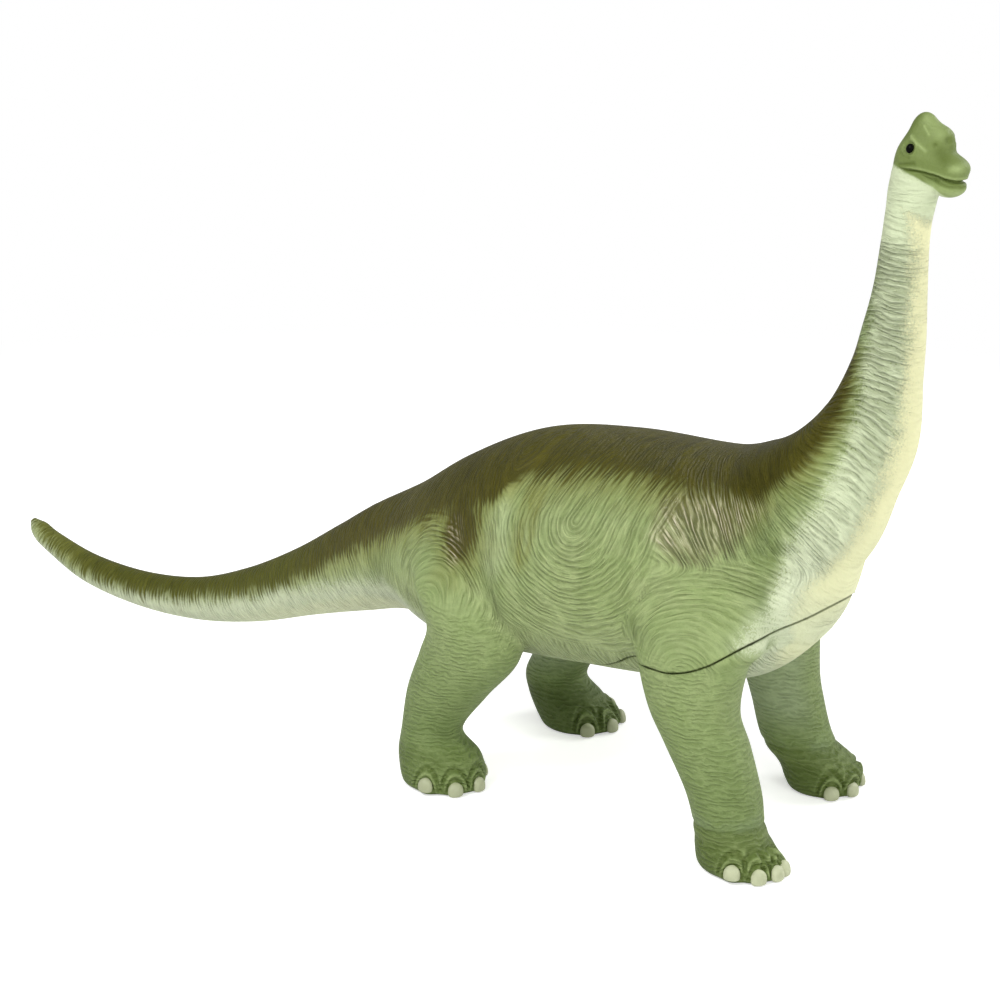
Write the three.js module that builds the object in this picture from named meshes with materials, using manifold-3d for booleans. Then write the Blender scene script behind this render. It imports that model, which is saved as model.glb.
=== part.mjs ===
// A stuffed long-necked dinosaur with a soft vinyl skin, standing on four feet.
// Millimetres. X runs from the tail to the snout, Y to the animal's left, Z up from the soles.
import * as THREE from "three";
import { mergeVertices } from "three/addons/utils/BufferGeometryUtils.js";
import Module from "manifold-3d";

const wasm = await Module();
wasm.setup();

// Walls and clearances
const SKIN = 2; // wall of the moulded vinyl
const GAP = 0.3; // clearance left between pieces that touch

// Trunk
const TORSO_LENGTH = 243.5;
const TORSO_WIDTH = 116;
const TORSO_DEPTH = 100;
const TORSO_HEIGHT = 105.5; // the trunk's centre line above the floor, at its deepest section
const TORSO_RISE = 41.5; // how far that line climbs per trunk, from the rump to the withers

// Tail
const TAIL_LENGTH = 284; // from its root in the trunk to the tip, along X
const TAIL_WIDTH = 56; // at the root
const TAIL_DEPTH = 68;
const TAIL_DROP = 60; // from the root's centre to the lowest point of the sag

// Neck
const NECK_REACH = 83; // from its root in the trunk to the head, along X
const NECK_RISE = 160;
const NECK_WIDTH = 80; // at the root
const NECK_DEPTH = 80;

// Head
const HEAD_LENGTH = 30;
const HEAD_WIDTH = 18;
const HEAD_HEIGHT = 33;
const MOUTH_SLOT = 0.9; // opening of the moulded mouth line
const MOUTH_DEPTH = 1; // how far that line is sunk in the skin
const EYE_DIAMETER = 3.2;

// Legs
const FORE_THIGH_WIDTH = 48;
const FORE_THIGH_DEPTH = 60;
const FORE_FOOT_WIDTH = 32;
const FORE_FOOT_LENGTH = 36;
const HIND_THIGH_WIDTH = 48;
const HIND_THIGH_DEPTH = 66;
const HIND_FOOT_WIDTH = 34;
const HIND_FOOT_LENGTH = 38;
const TRACK = 92; // across the centres of a pair of feet
const SHOULDER_FROM_RUMP = 184;
const HIP_FROM_RUMP = 64;
const FORE_STEP_RIGHT = 35; // how far each foot stands in front of its own shoulder or hip
const FORE_STEP_LEFT = 24;
const HIND_STEP_RIGHT = 7;
const HIND_STEP_LEFT = 16;

// Nails
const CLAW_WIDTH = 6.8;
const CLAW_HEIGHT = 6.6;
const CLAW_THICKNESS = 3.6;
const CLAW_STAND = 0.3; // how far a nail's middle stands outside the foot
const CLAW_LIFT = 0.5; // from the floor to a nail's lower edge

// Seam between the upper skin and the chest and belly skin
const LAP_WIDTH = 8; // the lower skin's hidden lip that tucks behind the upper one
const LAP_WALL = 1.2;
const LAP_FOOT = 3; // how far the lip reaches down inside the lower skin
const LAP_ROOT = 0.6; // how far that foot is sunk in the lower skin's wall

// Facets of a form's outside; its inside and its filling have about half as many sides
const FACETS = {
  torso: { rings: 13, sides: 16 },
  tail: { rings: 13, sides: 12 },
  neck: { rings: 13, sides: 12 },
  head: { rings: 13, sides: 12 },
  leg: { rings: 11, sides: 10 },
  claw: { rings: 4, sides: 8 },
};
const LEAST_RADIUS = 0.6; // an inner form stops where it would get thinner than this

const { lerp } = THREE.MathUtils;
const UP = new THREE.Vector3(0, 0, 1);
const FORWARD = new THREE.Vector3(1, 0, 0);
const LEFT = new THREE.Vector3(0, 1, 0);
const DOWN = new THREE.Vector3(0, 0, -1);

// Finishes
const finish = (color, roughness) => new THREE.MeshStandardMaterial({ color, roughness, metalness: 0 });
const OLIVE_VINYL = finish("#7c8f52", 0.5);
const LEAF_VINYL = finish("#66824b", 0.5);
const CREAM_VINYL = finish("#c9cfa2", 0.5);
const NAIL_CREAM = finish("#cbc9a5", 0.55);
const EYE_BLACK = finish("#0b0c09", 0.12);
const FIBRE_WHITE = finish("#e9e7e0", 0.95);

// A closed geometry as a solid that can be joined and cut.
function solid(geometry) {
  const bare = geometry.clone();
  bare.deleteAttribute("normal");
  bare.deleteAttribute("uv");
  const merged = mergeVertices(bare, 1e-4);
  return new wasm.Manifold(
    new wasm.Mesh({
      numProp: 3,
      vertProperties: merged.attributes.position.array,
      triVerts: new Uint32Array(merged.index.array),
    }),
  );
}

// The largest body of a solid: a cut through two curved skins can leave thin offcuts beside it.
function mainBody(cut) {
  return cut.decompose().reduce((best, body) => (body.volume() > best.volume() ? body : best));
}

// A solid back as a geometry.
function geometryOf(body) {
  const { vertProperties, triVerts } = body.getMesh();
  const geometry = new THREE.BufferGeometry();
  geometry.setAttribute("position", new THREE.BufferAttribute(new Float32Array(vertProperties), 3));
  geometry.setIndex(new THREE.BufferAttribute(new Uint32Array(triVerts), 1));
  geometry.computeVertexNormals();
  return geometry;
}

// A form is a smooth line through stations [x, y, z, half width, half depth].
// Its sections are ellipses, square to the line or to one fixed direction.
function form(stations, facets, facing = null) {
  const smooth = (points) => new THREE.CatmullRomCurve3(points, false, "catmullrom", 0.5);
  return {
    centre: smooth(stations.map(([x, y, z]) => new THREE.Vector3(x, y, z))),
    half: smooth(stations.map(([, , , wide, deep]) => new THREE.Vector3(wide, deep, 0))),
    facing,
    ...facets,
  };
}

// One elliptical ring of a form, moved along the form's line by shift.
function ring(shape, t, inset, sides, shift = 0) {
  const along = shape.facing ?? shape.centre.getTangent(t);
  const across = LEFT.clone().addScaledVector(along, -LEFT.dot(along)).normalize();
  const deep = along.clone().cross(across);
  const middle = shape.centre.getPoint(t).addScaledVector(along, shift);
  const half = shape.half.getPoint(t).addScalar(-inset);
  return Array.from({ length: sides }, (_, i) => {
    const angle = (2 * Math.PI * i) / sides;
    return middle
      .clone()
      .addScaledVector(across, half.x * Math.cos(angle))
      .addScaledVector(deep, half.y * Math.sin(angle));
  });
}

// The closed surface of a form. A positive inset gives the form inside it, a negative one the form grown.
function loft(shape, inset = 0) {
  const { rings } = shape;
  const sides = inset > GAP ? 2 * Math.round(shape.sides / 4) : shape.sides;
  const length = shape.centre.getLength();
  const least = (t) => Math.min(shape.half.getPoint(t).x, shape.half.getPoint(t).y) - inset;
  const step = 0.1 / rings;
  let start = inset > 0 ? shape.centre.getUtoTmapping(0, inset) : 0;
  let end = inset > 0 ? shape.centre.getUtoTmapping(0, length - inset) : 1;
  while (least(start) < LEAST_RADIUS && start < 0.5) start += step;
  while (least(end) < LEAST_RADIUS && end > 0.5) end -= step;
  const between = Array.from({ length: rings - 1 }, (_, i) => (i + 1) / rings);
  const stops = [start, ...between.filter((t) => t > start + step && t < end - step), end];
  const outline = stops.map((t) => ring(shape, t, inset, sides));
  if (inset < 0) {
    outline.unshift(ring(shape, start, inset, sides, inset));
    outline.push(ring(shape, end, inset, sides, -inset));
  }
  return closedRings(outline);
}

// Rings joined by quads in two triangles each, with a flat fan over both ends.
function closedRings(outline) {
  const sides = outline[0].length;
  const last = (outline.length - 1) * sides;
  const faces = [];
  for (let r = 0; r < outline.length - 1; r++) {
    for (let s = 0; s < sides; s++) {
      const a = r * sides + s;
      const b = r * sides + ((s + 1) % sides);
      faces.push(a, b, b + sides, a, b + sides, a + sides);
    }
  }
  for (let s = 1; s < sides - 1; s++) {
    faces.push(0, s + 1, s);
    faces.push(last, last + s, last + s + 1);
  }
  const geometry = new THREE.BufferGeometry();
  geometry.setAttribute(
    "position",
    new THREE.Float32BufferAttribute(outline.flat().flatMap((p) => p.toArray()), 3),
  );
  geometry.setIndex(faces);
  return geometry;
}

// Solids of one form at each clearance that the cuts ask for, worked out once.
const cache = new Map();
function body(shape, inset = 0) {
  const key = inset.toFixed(3);
  if (!cache.has(shape)) cache.set(shape, new Map());
  const made = cache.get(shape);
  if (!made.has(key)) made.set(key, solid(loft(shape, inset)));
  return made.get(key);
}
const outside = (shape) => body(shape);
const cavity = (shape) => body(shape, SKIN);
const stuffing = (shape) => body(shape, SKIN + GAP);
const cleared = (shape) => body(shape, -GAP);

// Trunk: [along, climb, half width, half depth], as shares of the trunk's own sizes
const TORSO_OUTLINE = [
  [0, -0.64, 0.28, 0.36],
  [0.1, -0.52, 0.53, 0.62],
  [0.22, -0.3, 0.76, 0.84],
  [0.37, -0.08, 0.91, 0.98],
  [0.53, 0, 1, 1],
  [0.69, 0.04, 0.97, 0.97],
  [0.83, 0.13, 0.8, 0.92],
  [0.92, 0.26, 0.54, 0.68],
  [0.965, 0.32, 0.34, 0.47],
  [0.992, 0.35, 0.16, 0.24],
  [1, 0.36, 0.03, 0.06],
];

// A point of the trunk's middle plane: how far from the rump, and how far up its rise from the deepest section.
const trunkPoint = (along, climb) =>
  new THREE.Vector3(along * TORSO_LENGTH, 0, TORSO_HEIGHT + climb * TORSO_RISE);

const torso = form(
  TORSO_OUTLINE.map(([along, climb, wide, deep]) => [
    ...trunkPoint(along, climb).toArray(),
    (wide * TORSO_WIDTH) / 2,
    (deep * TORSO_DEPTH) / 2,
  ]),
  FACETS.torso,
  FORWARD,
);

// Tail: [along, drop, half width, half depth]
const TAIL_OUTLINE = [
  [0, 0, 1, 1],
  [0.134, 0.17, 0.91, 0.81],
  [0.229, 0.35, 0.73, 0.63],
  [0.342, 0.58, 0.57, 0.48],
  [0.461, 0.8, 0.46, 0.39],
  [0.588, 0.955, 0.36, 0.31],
  [0.722, 1, 0.3, 0.26],
  [0.852, 0.94, 0.26, 0.22],
  [0.947, 0.79, 0.19, 0.17],
  [0.982, 0.7, 0.165, 0.14],
  [1, 0.63, 0.05, 0.05],
];
const tailRoot = trunkPoint(0.222, -0.325);
const tail = form(
  TAIL_OUTLINE.map(([along, drop, wide, deep]) => [
    tailRoot.x - along * TAIL_LENGTH,
    0,
    tailRoot.z - drop * TAIL_DROP,
    (wide * TAIL_WIDTH) / 2,
    (deep * TAIL_DEPTH) / 2,
  ]),
  FACETS.tail,
);

// Neck: [reach, rise, half width, half depth]
const NECK_OUTLINE = [
  [0, 0, 1, 0.95],
  [0.313, 0.087, 0.9, 0.88],
  [0.567, 0.173, 0.75, 0.79],
  [0.731, 0.282, 0.525, 0.58],
  [0.839, 0.39, 0.42, 0.49],
  [0.908, 0.525, 0.325, 0.37],
  [0.939, 0.631, 0.28, 0.31],
  [0.959, 0.731, 0.235, 0.26],
  [0.972, 0.841, 0.21, 0.235],
  [0.991, 0.95, 0.21, 0.235],
  [1, 1, 0.19, 0.21],
];
const neckRoot = trunkPoint(0.715, 0.157);
const neck = form(
  NECK_OUTLINE.map(([reach, rise, wide, deep]) => [
    neckRoot.x + reach * NECK_REACH,
    0,
    neckRoot.z + rise * NECK_RISE,
    (wide * NECK_WIDTH) / 2,
    (deep * NECK_DEPTH) / 2,
  ]),
  FACETS.neck,
);

// Head, from the throat up to the crest: [forward of the neck, rise, half width, half length]
const HEAD_OUTLINE = [
  [-0.02, 0, 0.86, 0.54],
  [0, 0.11, 0.88, 0.6],
  [0.135, 0.14, 0.84, 0.78],
  [0.19, 0.175, 0.84, 0.92],
  [0.205, 0.227, 0.88, 0.985],
  [0.21, 0.303, 0.94, 1.005],
  [0.22, 0.394, 1, 1.035],
  [0.223, 0.485, 1, 0.965],
  [0.19, 0.576, 1, 0.83],
  [0.197, 0.697, 0.9, 0.685],
  [0.19, 0.818, 0.72, 0.51],
  [0.175, 0.894, 0.52, 0.39],
  [0.12, 0.97, 0.25, 0.17],
  [0.1, 1, 0.07, 0.05],
];
const THROAT_BELOW_NECK_TOP = 10;
const neckTop = neck.centre.getPoint(1);
const headX = (fore) => neckTop.x + fore * HEAD_LENGTH;
const headZ = (rise) => neckTop.z - THROAT_BELOW_NECK_TOP + rise * HEAD_HEIGHT;
const head = form(
  HEAD_OUTLINE.map(([fore, rise, wide, long]) => [
    headX(fore),
    0,
    headZ(rise),
    (wide * HEAD_WIDTH) / 2,
    (long * HEAD_LENGTH) / 2,
  ]),
  FACETS.head,
  UP,
);

// Legs: [down, bow forwards, out, half width, half depth], from the root in the trunk to the sole
const LEG_OUTLINES = {
  fore_leg_right: [
    [0, 0, 0, 0.92, 1],
    [0.15, -0.008, 0.44, 1.05, 1.06],
    [0.32, -0.036, 0.83, 0.95, 0.88],
    [0.47, -0.046, 1, 0.81, 0.75],
    [0.59, -0.022, 1, 0.79, 0.73],
    [0.74, 0.004, 1, 0.76, 0.67],
    [0.87, -0.008, 1, 0.8, 0.72],
    [0.95, 0, 1, 0.95, 0.92],
    [0.98, 0.005, 1, 0.96, 0.99],
    [1, 0, 1, 0.91, 0.95],
  ],
  fore_leg_left: [
    [0, 0, 0, 0.92, 1],
    [0.15, -0.032, 0.44, 1.05, 1.06],
    [0.36, -0.086, 0.83, 0.96, 0.92],
    [0.56, -0.119, 1, 0.83, 0.73],
    [0.68, -0.118, 1, 0.82, 0.73],
    [0.83, -0.091, 1, 0.82, 0.74],
    [0.92, -0.024, 1, 0.96, 0.98],
    [0.97, 0.001, 1, 0.99, 0.98],
    [1, 0, 1, 0.91, 0.89],
  ],
  hind_leg_right: [
    [0, 0.03, 0, 0.83, 0.85],
    [0.15, 0.1, 0.5, 1.04, 0.75],
    [0.31, 0.155, 0.85, 1, 0.76],
    [0.44, 0.145, 1, 0.85, 0.87],
    [0.61, 0.045, 1, 0.75, 0.75],
    [0.78, -0.044, 1, 0.69, 0.6],
    [0.87, -0.015, 1, 0.84, 0.9],
    [0.94, -0.01, 1, 0.98, 0.98],
    [0.98, 0, 1, 0.99, 0.99],
    [1, 0, 1, 0.91, 0.95],
  ],
  hind_leg_left: [
    [0, 0.03, 0, 0.83, 0.87],
    [0.15, 0.02, 0.5, 1.04, 0.95],
    [0.31, 0.05, 0.85, 1, 0.93],
    [0.44, 0.097, 1, 0.85, 0.85],
    [0.65, -0.009, 1, 0.76, 0.65],
    [0.8, -0.1, 1, 0.69, 0.65],
    [0.9, -0.06, 1, 0.83, 0.88],
    [0.95, -0.011, 1, 0.98, 0.97],
    [0.98, 0.003, 1, 0.99, 0.94],
    [1, 0, 1, 0.91, 0.9],
  ],
};

const FORE_PAIR = {
  rootX: SHOULDER_FROM_RUMP,
  rootY: 0.24 * TORSO_WIDTH,
  rootZ: TORSO_HEIGHT + 0.25 * TORSO_DEPTH * 0.5,
  thigh: [FORE_THIGH_WIDTH, FORE_THIGH_DEPTH],
  foot: [FORE_FOOT_WIDTH, FORE_FOOT_LENGTH],
};
const HIND_PAIR = {
  rootX: HIP_FROM_RUMP,
  rootY: 0.224 * TORSO_WIDTH,
  rootZ: TORSO_HEIGHT + 0.05 * TORSO_DEPTH * 0.5,
  thigh: [HIND_THIGH_WIDTH, HIND_THIGH_DEPTH],
  foot: [HIND_FOOT_WIDTH, HIND_FOOT_LENGTH],
};

// A leg's form, tapering from its thigh to its foot, with the outline's bulges on top of that taper.
function leg(name, pair, side, step) {
  const stations = LEG_OUTLINES[name].map(([down, bow, out, wide, deep]) => [
    pair.rootX + down * step + bow * pair.rootZ,
    side * lerp(pair.rootY, TRACK / 2, out),
    pair.rootZ * (1 - down),
    (wide * lerp(pair.thigh[0], pair.foot[0], down)) / 2,
    (deep * lerp(pair.thigh[1], pair.foot[1], down)) / 2,
  ]);
  return { name, side, shape: form(stations, FACETS.leg, DOWN), foot: stations.at(-2) };
}

const RIGHT_SIDE = -1;
const LEFT_SIDE = 1;
const foreLegs = [
  leg("fore_leg_right", FORE_PAIR, RIGHT_SIDE, FORE_STEP_RIGHT),
  leg("fore_leg_left", FORE_PAIR, LEFT_SIDE, FORE_STEP_LEFT),
];
const hindLegs = [
  leg("hind_leg_right", HIND_PAIR, RIGHT_SIDE, HIND_STEP_RIGHT),
  leg("hind_leg_left", HIND_PAIR, LEFT_SIDE, HIND_STEP_LEFT),
];

// Seam: [along, height], from under the hips over the shoulders to the front of the chest
const SEAM_OUTLINE = [
  [0.148, -1.31],
  [0.197, -1.11],
  [0.283, -0.99],
  [0.427, -0.93],
  [0.571, -0.83],
  [0.632, -0.71],
  [0.682, -0.57],
  [0.747, -0.5],
  [0.805, -0.48],
  [0.854, -0.4],
  [0.903, -0.24],
  [0.945, -0.13],
  [0.977, -0.03],
  [1.084, 0.27],
];

// Everything below the seam, with the seam raised by lift.
function belowSeam(lift) {
  const line = SEAM_OUTLINE.map(
    ([along, height]) =>
      new THREE.Vector2(
        along * TORSO_LENGTH,
        TORSO_HEIGHT + (height * TORSO_DEPTH) / 2 + lift,
      ),
  );
  const bottom = -TORSO_HEIGHT;
  const profile = new THREE.Shape();
  profile.moveTo(line[0].x, bottom);
  profile.lineTo(line[0].x, line[0].y);
  profile.splineThru(line.slice(1));
  profile.lineTo(line.at(-1).x, bottom);
  profile.closePath();
  const block = new THREE.ExtrudeGeometry(profile, {
    depth: 2 * TORSO_WIDTH,
    bevelEnabled: false,
    curveSegments: 1,
  });
  return solid(block.rotateX(Math.PI / 2).translate(0, TORSO_WIDTH, 0));
}

const join = (solids) => solids.reduce((sum, one) => sum.add(one));
const cut = (from, cutters) => cutters.reduce((rest, cutter) => rest.subtract(cutter), from);
const shapes = (legs) => legs.map((one) => one.shape);

// Upper skin: trunk and shoulders above the seam, open to the neck, the tail and the four legs
const shoulders = shapes(foreLegs);
const lowerBlock = belowSeam(-GAP / 2);
const bodyInside = join([torso, ...shoulders].map(cavity));
const torsoSkin = cut(join([torso, ...shoulders].map(outside)), [
  bodyInside,
  belowSeam(GAP / 2),
  ...[neck, tail, ...shapes(hindLegs)].map(cavity),
]);

// Lower skin: chest and belly panel, with a thin lip that laps behind the upper skin all along the seam
const panel = cut(outside(torso), [cavity(torso), ...shoulders.map(cavity), ...shapes(hindLegs).map(cavity)]);
const lapInside = body(torso, SKIN + GAP + LAP_WALL);
const lip = cut(stuffing(torso), [lapInside]).intersect(belowSeam(LAP_WIDTH));
const lipFoot = cut(body(torso, SKIN - LAP_ROOT), [lapInside]).intersect(lowerBlock);
const lap = cut(join([lip, lipFoot]), [
  belowSeam(-LAP_FOOT),
  ...[neck, tail].map(cavity),
  ...shapes([...foreLegs, ...hindLegs]).map(outside),
]);
const bellySkin = panel.intersect(lowerBlock).add(lap);

// Filling of the trunk, held clear of the lap
const lapRoom = cut(body(torso, SKIN - LAP_ROOT), [body(torso, SKIN + GAP + LAP_WALL + GAP)])
  .intersect(belowSeam(LAP_WIDTH + GAP))
  .subtract(belowSeam(-LAP_FOOT - GAP));
const torsoFilling = stuffing(torso).subtract(lapRoom);

// Nails: a rounded wedge that stands on its lower edge, its thickness along its own X
const CLAW_OUTLINE = [
  [0, 0.94, 0.9],
  [0.35, 1, 1],
  [0.7, 0.8, 0.84],
  [0.9, 0.5, 0.55],
  [1, 0.2, 0.25],
];
const claw = form(
  CLAW_OUTLINE.map(([rise, wide, thick]) => [
    0,
    0,
    rise * CLAW_HEIGHT,
    (wide * CLAW_WIDTH) / 2,
    (thick * CLAW_THICKNESS) / 2,
  ]),
  FACETS.claw,
  UP,
);
const clawBed = loft(claw, -GAP);
const TOE_ANGLES = [78, 38, -2, -45]; // from the outer toe to the inner one, measured from straight ahead

// Where each nail of a foot stands: on the foot's ellipse, facing out of it.
function clawPlaces({ name, side, foot }) {
  const [x, y, , wide, long] = foot;
  return TOE_ANGLES.map((degrees, i) => {
    const angle = side * THREE.MathUtils.degToRad(degrees);
    const normal = new THREE.Vector3(Math.cos(angle) / long, Math.sin(angle) / wide, 0).normalize();
    const place = new THREE.Object3D();
    place.name = `claw_${name.replace("_leg", "")}_${i + 1}`;
    place.position.set(x + long * Math.cos(angle), y + wide * Math.sin(angle), CLAW_LIFT);
    place.position.addScaledVector(normal, CLAW_STAND);
    place.rotation.z = Math.atan2(normal.y, normal.x);
    place.updateMatrixWorld();
    return place;
  });
}

// A nail's bed, open downwards so that no thin flake is left under it.
function bedCutter(place) {
  const upper = clawBed.clone().applyMatrix4(place.matrixWorld);
  const lower = clawBed.clone().applyMatrix4(place.matrixWorld).translate(0, 0, -2 * CLAW_LIFT);
  return solid(upper).add(solid(lower));
}

// Eyes: flattened domes let into the sides of the head
const EYE_FLATNESS = 0.66;
function eyePlace(side) {
  const share = 0.658; // how far up the head's stations the eyes sit
  const middle = head.centre.getPoint(share);
  const half = head.half.getPoint(share);
  const angle = THREE.MathUtils.degToRad(112); // from straight ahead round to the temple
  const place = new THREE.Object3D();
  place.name = side === LEFT_SIDE ? "eye_left" : "eye_right";
  place.position.set(middle.x + half.y * Math.cos(angle), side * half.x * Math.sin(angle), middle.z);
  place.rotation.z = side * Math.atan2(Math.sin(angle) / half.x, Math.cos(angle) / half.y);
  place.updateMatrixWorld();
  return place;
}
function eyeBall(grow) {
  const radius = EYE_DIAMETER / 2;
  const ball = new THREE.SphereGeometry(1, 10, 6);
  return ball.scale(radius * EYE_FLATNESS + grow, radius + grow, radius + grow);
}
const eyes = [eyePlace(RIGHT_SIDE), eyePlace(LEFT_SIDE)];
const eyeSockets = eyes.map((place) => solid(eyeBall(GAP).applyMatrix4(place.matrixWorld)));

// Mouth: a slot along a curved line round the snout, sunk only part of the way through the skin
function mouthSlot() {
  const back = new THREE.Vector2(headX(-0.07), headZ(0.4));
  const dip = new THREE.Vector2(headX(0.4), headZ(0.3));
  const front = new THREE.Vector2(headX(0.85), headZ(0.28));
  const profile = new THREE.Shape();
  profile.moveTo(back.x, back.y);
  profile.quadraticCurveTo(dip.x, dip.y, front.x, front.y);
  profile.lineTo(front.x, front.y - MOUTH_SLOT);
  profile.quadraticCurveTo(dip.x, dip.y - MOUTH_SLOT, back.x, back.y - MOUTH_SLOT);
  profile.closePath();
  const slab = new THREE.ExtrudeGeometry(profile, {
    depth: 2 * HEAD_WIDTH,
    bevelEnabled: false,
    curveSegments: 6,
  });
  return solid(slab.rotateX(Math.PI / 2).translate(0, HEAD_WIDTH, 0)).subtract(body(head, MOUTH_DEPTH));
}

// The part
const toy = new THREE.Group();
toy.name = "stuffed_dinosaur";

function piece(name, geometry, material) {
  const mesh = new THREE.Mesh(geometry, material);
  mesh.name = name;
  toy.add(mesh);
  return mesh;
}
const softPiece = (name, whole, material) => piece(name, geometryOf(mainBody(whole)), material);

softPiece("torso_skin", torsoSkin, OLIVE_VINYL);
softPiece("belly_skin", bellySkin, CREAM_VINYL);
softPiece("torso_filling", torsoFilling, FIBRE_WHITE);

const neckSkin = cut(outside(neck), [
  cavity(neck),
  ...[torso, ...shoulders, head].map(cleared),
]);
softPiece("neck_skin", neckSkin, OLIVE_VINYL);
const neckFilling = cut(join([stuffing(neck), stuffing(head)]), [cavity(torso), ...shoulders.map(cavity)]);
softPiece("neck_and_head_filling", neckFilling, FIBRE_WHITE);

const headSkin = cut(outside(head), [cavity(head), cavity(neck), mouthSlot(), ...eyeSockets]);
softPiece("head_skin", headSkin, LEAF_VINYL);
for (const place of eyes) {
  const eye = piece(place.name, eyeBall(0), EYE_BLACK);
  eye.position.copy(place.position);
  eye.rotation.copy(place.rotation);
}

const tailSkin = cut(outside(tail), [cavity(tail), cleared(torso)]);
softPiece("tail_skin", tailSkin, OLIVE_VINYL);
softPiece("tail_filling", cut(stuffing(tail), [cavity(torso)]), FIBRE_WHITE);

// A leg's skin is cut by the trunk and the tail, a fore leg's also by the seam, and each by its own nails.
for (const { legs, extra } of [
  { legs: foreLegs, extra: (skin) => skin.intersect(lowerBlock) },
  { legs: hindLegs, extra: (skin) => skin.subtract(cleared(tail)) },
]) {
  for (const one of legs) {
    const places = clawPlaces(one);
    const shell = cut(outside(one.shape), [
      cavity(one.shape),
      cleared(torso),
      ...places.map(bedCutter),
    ]);
    softPiece(`${one.name}_skin`, extra(shell), LEAF_VINYL);
    softPiece(`${one.name}_filling`, cut(stuffing(one.shape), [cavity(torso)]), FIBRE_WHITE);
    for (const place of places) {
      const nail = piece(place.name, loft(claw), NAIL_CREAM);
      nail.position.copy(place.position);
      nail.rotation.copy(place.rotation);
    }
  }
}

// The origin lies on the floor under the middle of the part's own box.
const box = new THREE.Box3().setFromObject(toy);
const middle = box.getCenter(new THREE.Vector3());
toy.position.set(-middle.x, -middle.y, -box.min.z);

const group = new THREE.Group();
group.add(toy);

export default group;
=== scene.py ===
# %% [markdown]
# # A long-necked toy dinosaur with a soft vinyl skin
#
# The real object is a stuffed toy. Its skin is soft vinyl, cast in two shells that meet in one
# curved seam round the chest, and fibre is packed inside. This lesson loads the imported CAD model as
# a fixed frame, works the skin out as one smooth surface over the same stations, cuts it at the
# seam, and then paints, lights and photographs it.

import bpy
import numpy as np
from mathutils import Matrix, Vector


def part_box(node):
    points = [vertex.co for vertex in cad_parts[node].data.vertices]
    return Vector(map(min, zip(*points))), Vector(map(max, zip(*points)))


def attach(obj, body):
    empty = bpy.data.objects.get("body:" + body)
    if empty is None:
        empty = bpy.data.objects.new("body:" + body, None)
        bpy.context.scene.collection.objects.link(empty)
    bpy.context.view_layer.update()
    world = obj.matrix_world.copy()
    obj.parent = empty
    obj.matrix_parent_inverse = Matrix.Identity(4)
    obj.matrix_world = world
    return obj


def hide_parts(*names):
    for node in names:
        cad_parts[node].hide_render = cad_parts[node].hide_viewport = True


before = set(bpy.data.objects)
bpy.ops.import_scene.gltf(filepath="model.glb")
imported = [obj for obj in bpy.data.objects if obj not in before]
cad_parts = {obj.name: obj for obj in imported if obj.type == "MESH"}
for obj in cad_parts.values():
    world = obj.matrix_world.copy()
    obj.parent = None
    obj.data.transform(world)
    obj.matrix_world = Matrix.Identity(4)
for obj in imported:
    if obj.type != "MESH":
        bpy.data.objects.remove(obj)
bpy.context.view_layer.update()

# %% [markdown]
# ## The stations of every limb
# A limb is a row of ellipses carried along a line. The rows below are the ones that the solids use,
# in millimetres from the rump, so that skin and solids agree. Between two rows a smooth curve is
# needed. A Catmull-Rom curve passes every row exactly, which keeps the measured outline.

# %% Smooth rows
ORIGIN = np.array((-24.1026, -0.0142, 0.0))  # from the rump's own zero to the frame's, in mm


def smooth_rows(rows, count=400):
    """Rows sampled on a uniform Catmull-Rom curve: every row is passed, and the slope at a row is
    half the step between its two neighbours."""
    rows = np.asarray(rows, float)
    ends = np.vstack((2 * rows[0] - rows[1], rows, 2 * rows[-1] - rows[-2]))
    place = np.linspace(0, len(rows) - 1, count)
    first = np.minimum(place.astype(int), len(rows) - 2)
    t = (place - first)[:, None]
    a, b, c, d = (ends[first + k] for k in range(4))
    return 0.5 * (2 * b + (c - a) * t + (2 * a - 5 * b + 4 * c - d) * t**2
                  + (3 * b - a - 3 * c + d) * t**3)


# %% The rows of the trunk: along x, height of the middle, half width, half depth
TORSO = np.array((
    (0, -.5, .28, .28), (.1, -.43, .53, .53), (.22, -.31, .76, .83), (.37, -.09, .91, .975),
    (.53, 0, 1, 1), (.69, .04, .97, .97), (.83, .13, .8, .92), (.919, .28, .56, .695),
    (.959, .37, .36, .475), (.98, .4, .17, .24), (.988, .42, .03, .06)))
TORSO = TORSO * (243.5, 41.5, 58, 50) + (0, 105.5, 0, 0)
TAIL = np.array((
    (0, 0, 1, 1), (.134, .165, .91, .77), (.229, .35, .73, .63), (.342, .58, .57, .48),
    (.461, .8, .46, .39), (.588, .955, .36, .31), (.722, 1, .3, .26), (.852, .94, .26, .22),
    (.947, .79, .19, .17), (.982, .7, .165, .14), (1, .63, .05, .05)))
TAIL = TAIL * (-284, -60, 28, 34) + (54.06, 92.01, 0, 0)
NECK = np.array((
    (0, 0, .94, .95), (.313, .08, .86, .863), (.562, .174, .75, .757), (.733, .284, .525, .583),
    (.844, .389, .42, .493), (.908, .525, .325, .365), (.939, .631, .28, .31),
    (.959, .731, .235, .26), (.972, .841, .208, .23), (.991, .95, .2, .215), (1, 1, .15, .16)))
NECK = NECK * (83, 160, 40, 40) + (174.1, 112.02, 0, 0)
HEAD = np.array((
    (-.02, 0, .86, .54), (0, .11, .88, .6), (.135, .14, .84, .78), (.19, .175, .84, .92),
    (.205, .227, .88, .985), (.21, .303, .94, 1.005), (.22, .394, 1, 1.035),
    (.223, .485, 1, .965), (.19, .576, 1, .83), (.197, .697, .9, .685), (.19, .818, .72, .51),
    (.175, .894, .52, .39), (.12, .97, .25, .17), (.1, 1, .07, .05)))
HEAD = HEAD * (30, 33, 9, 15) + (257.1, 262.02, 0, 0)

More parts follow.
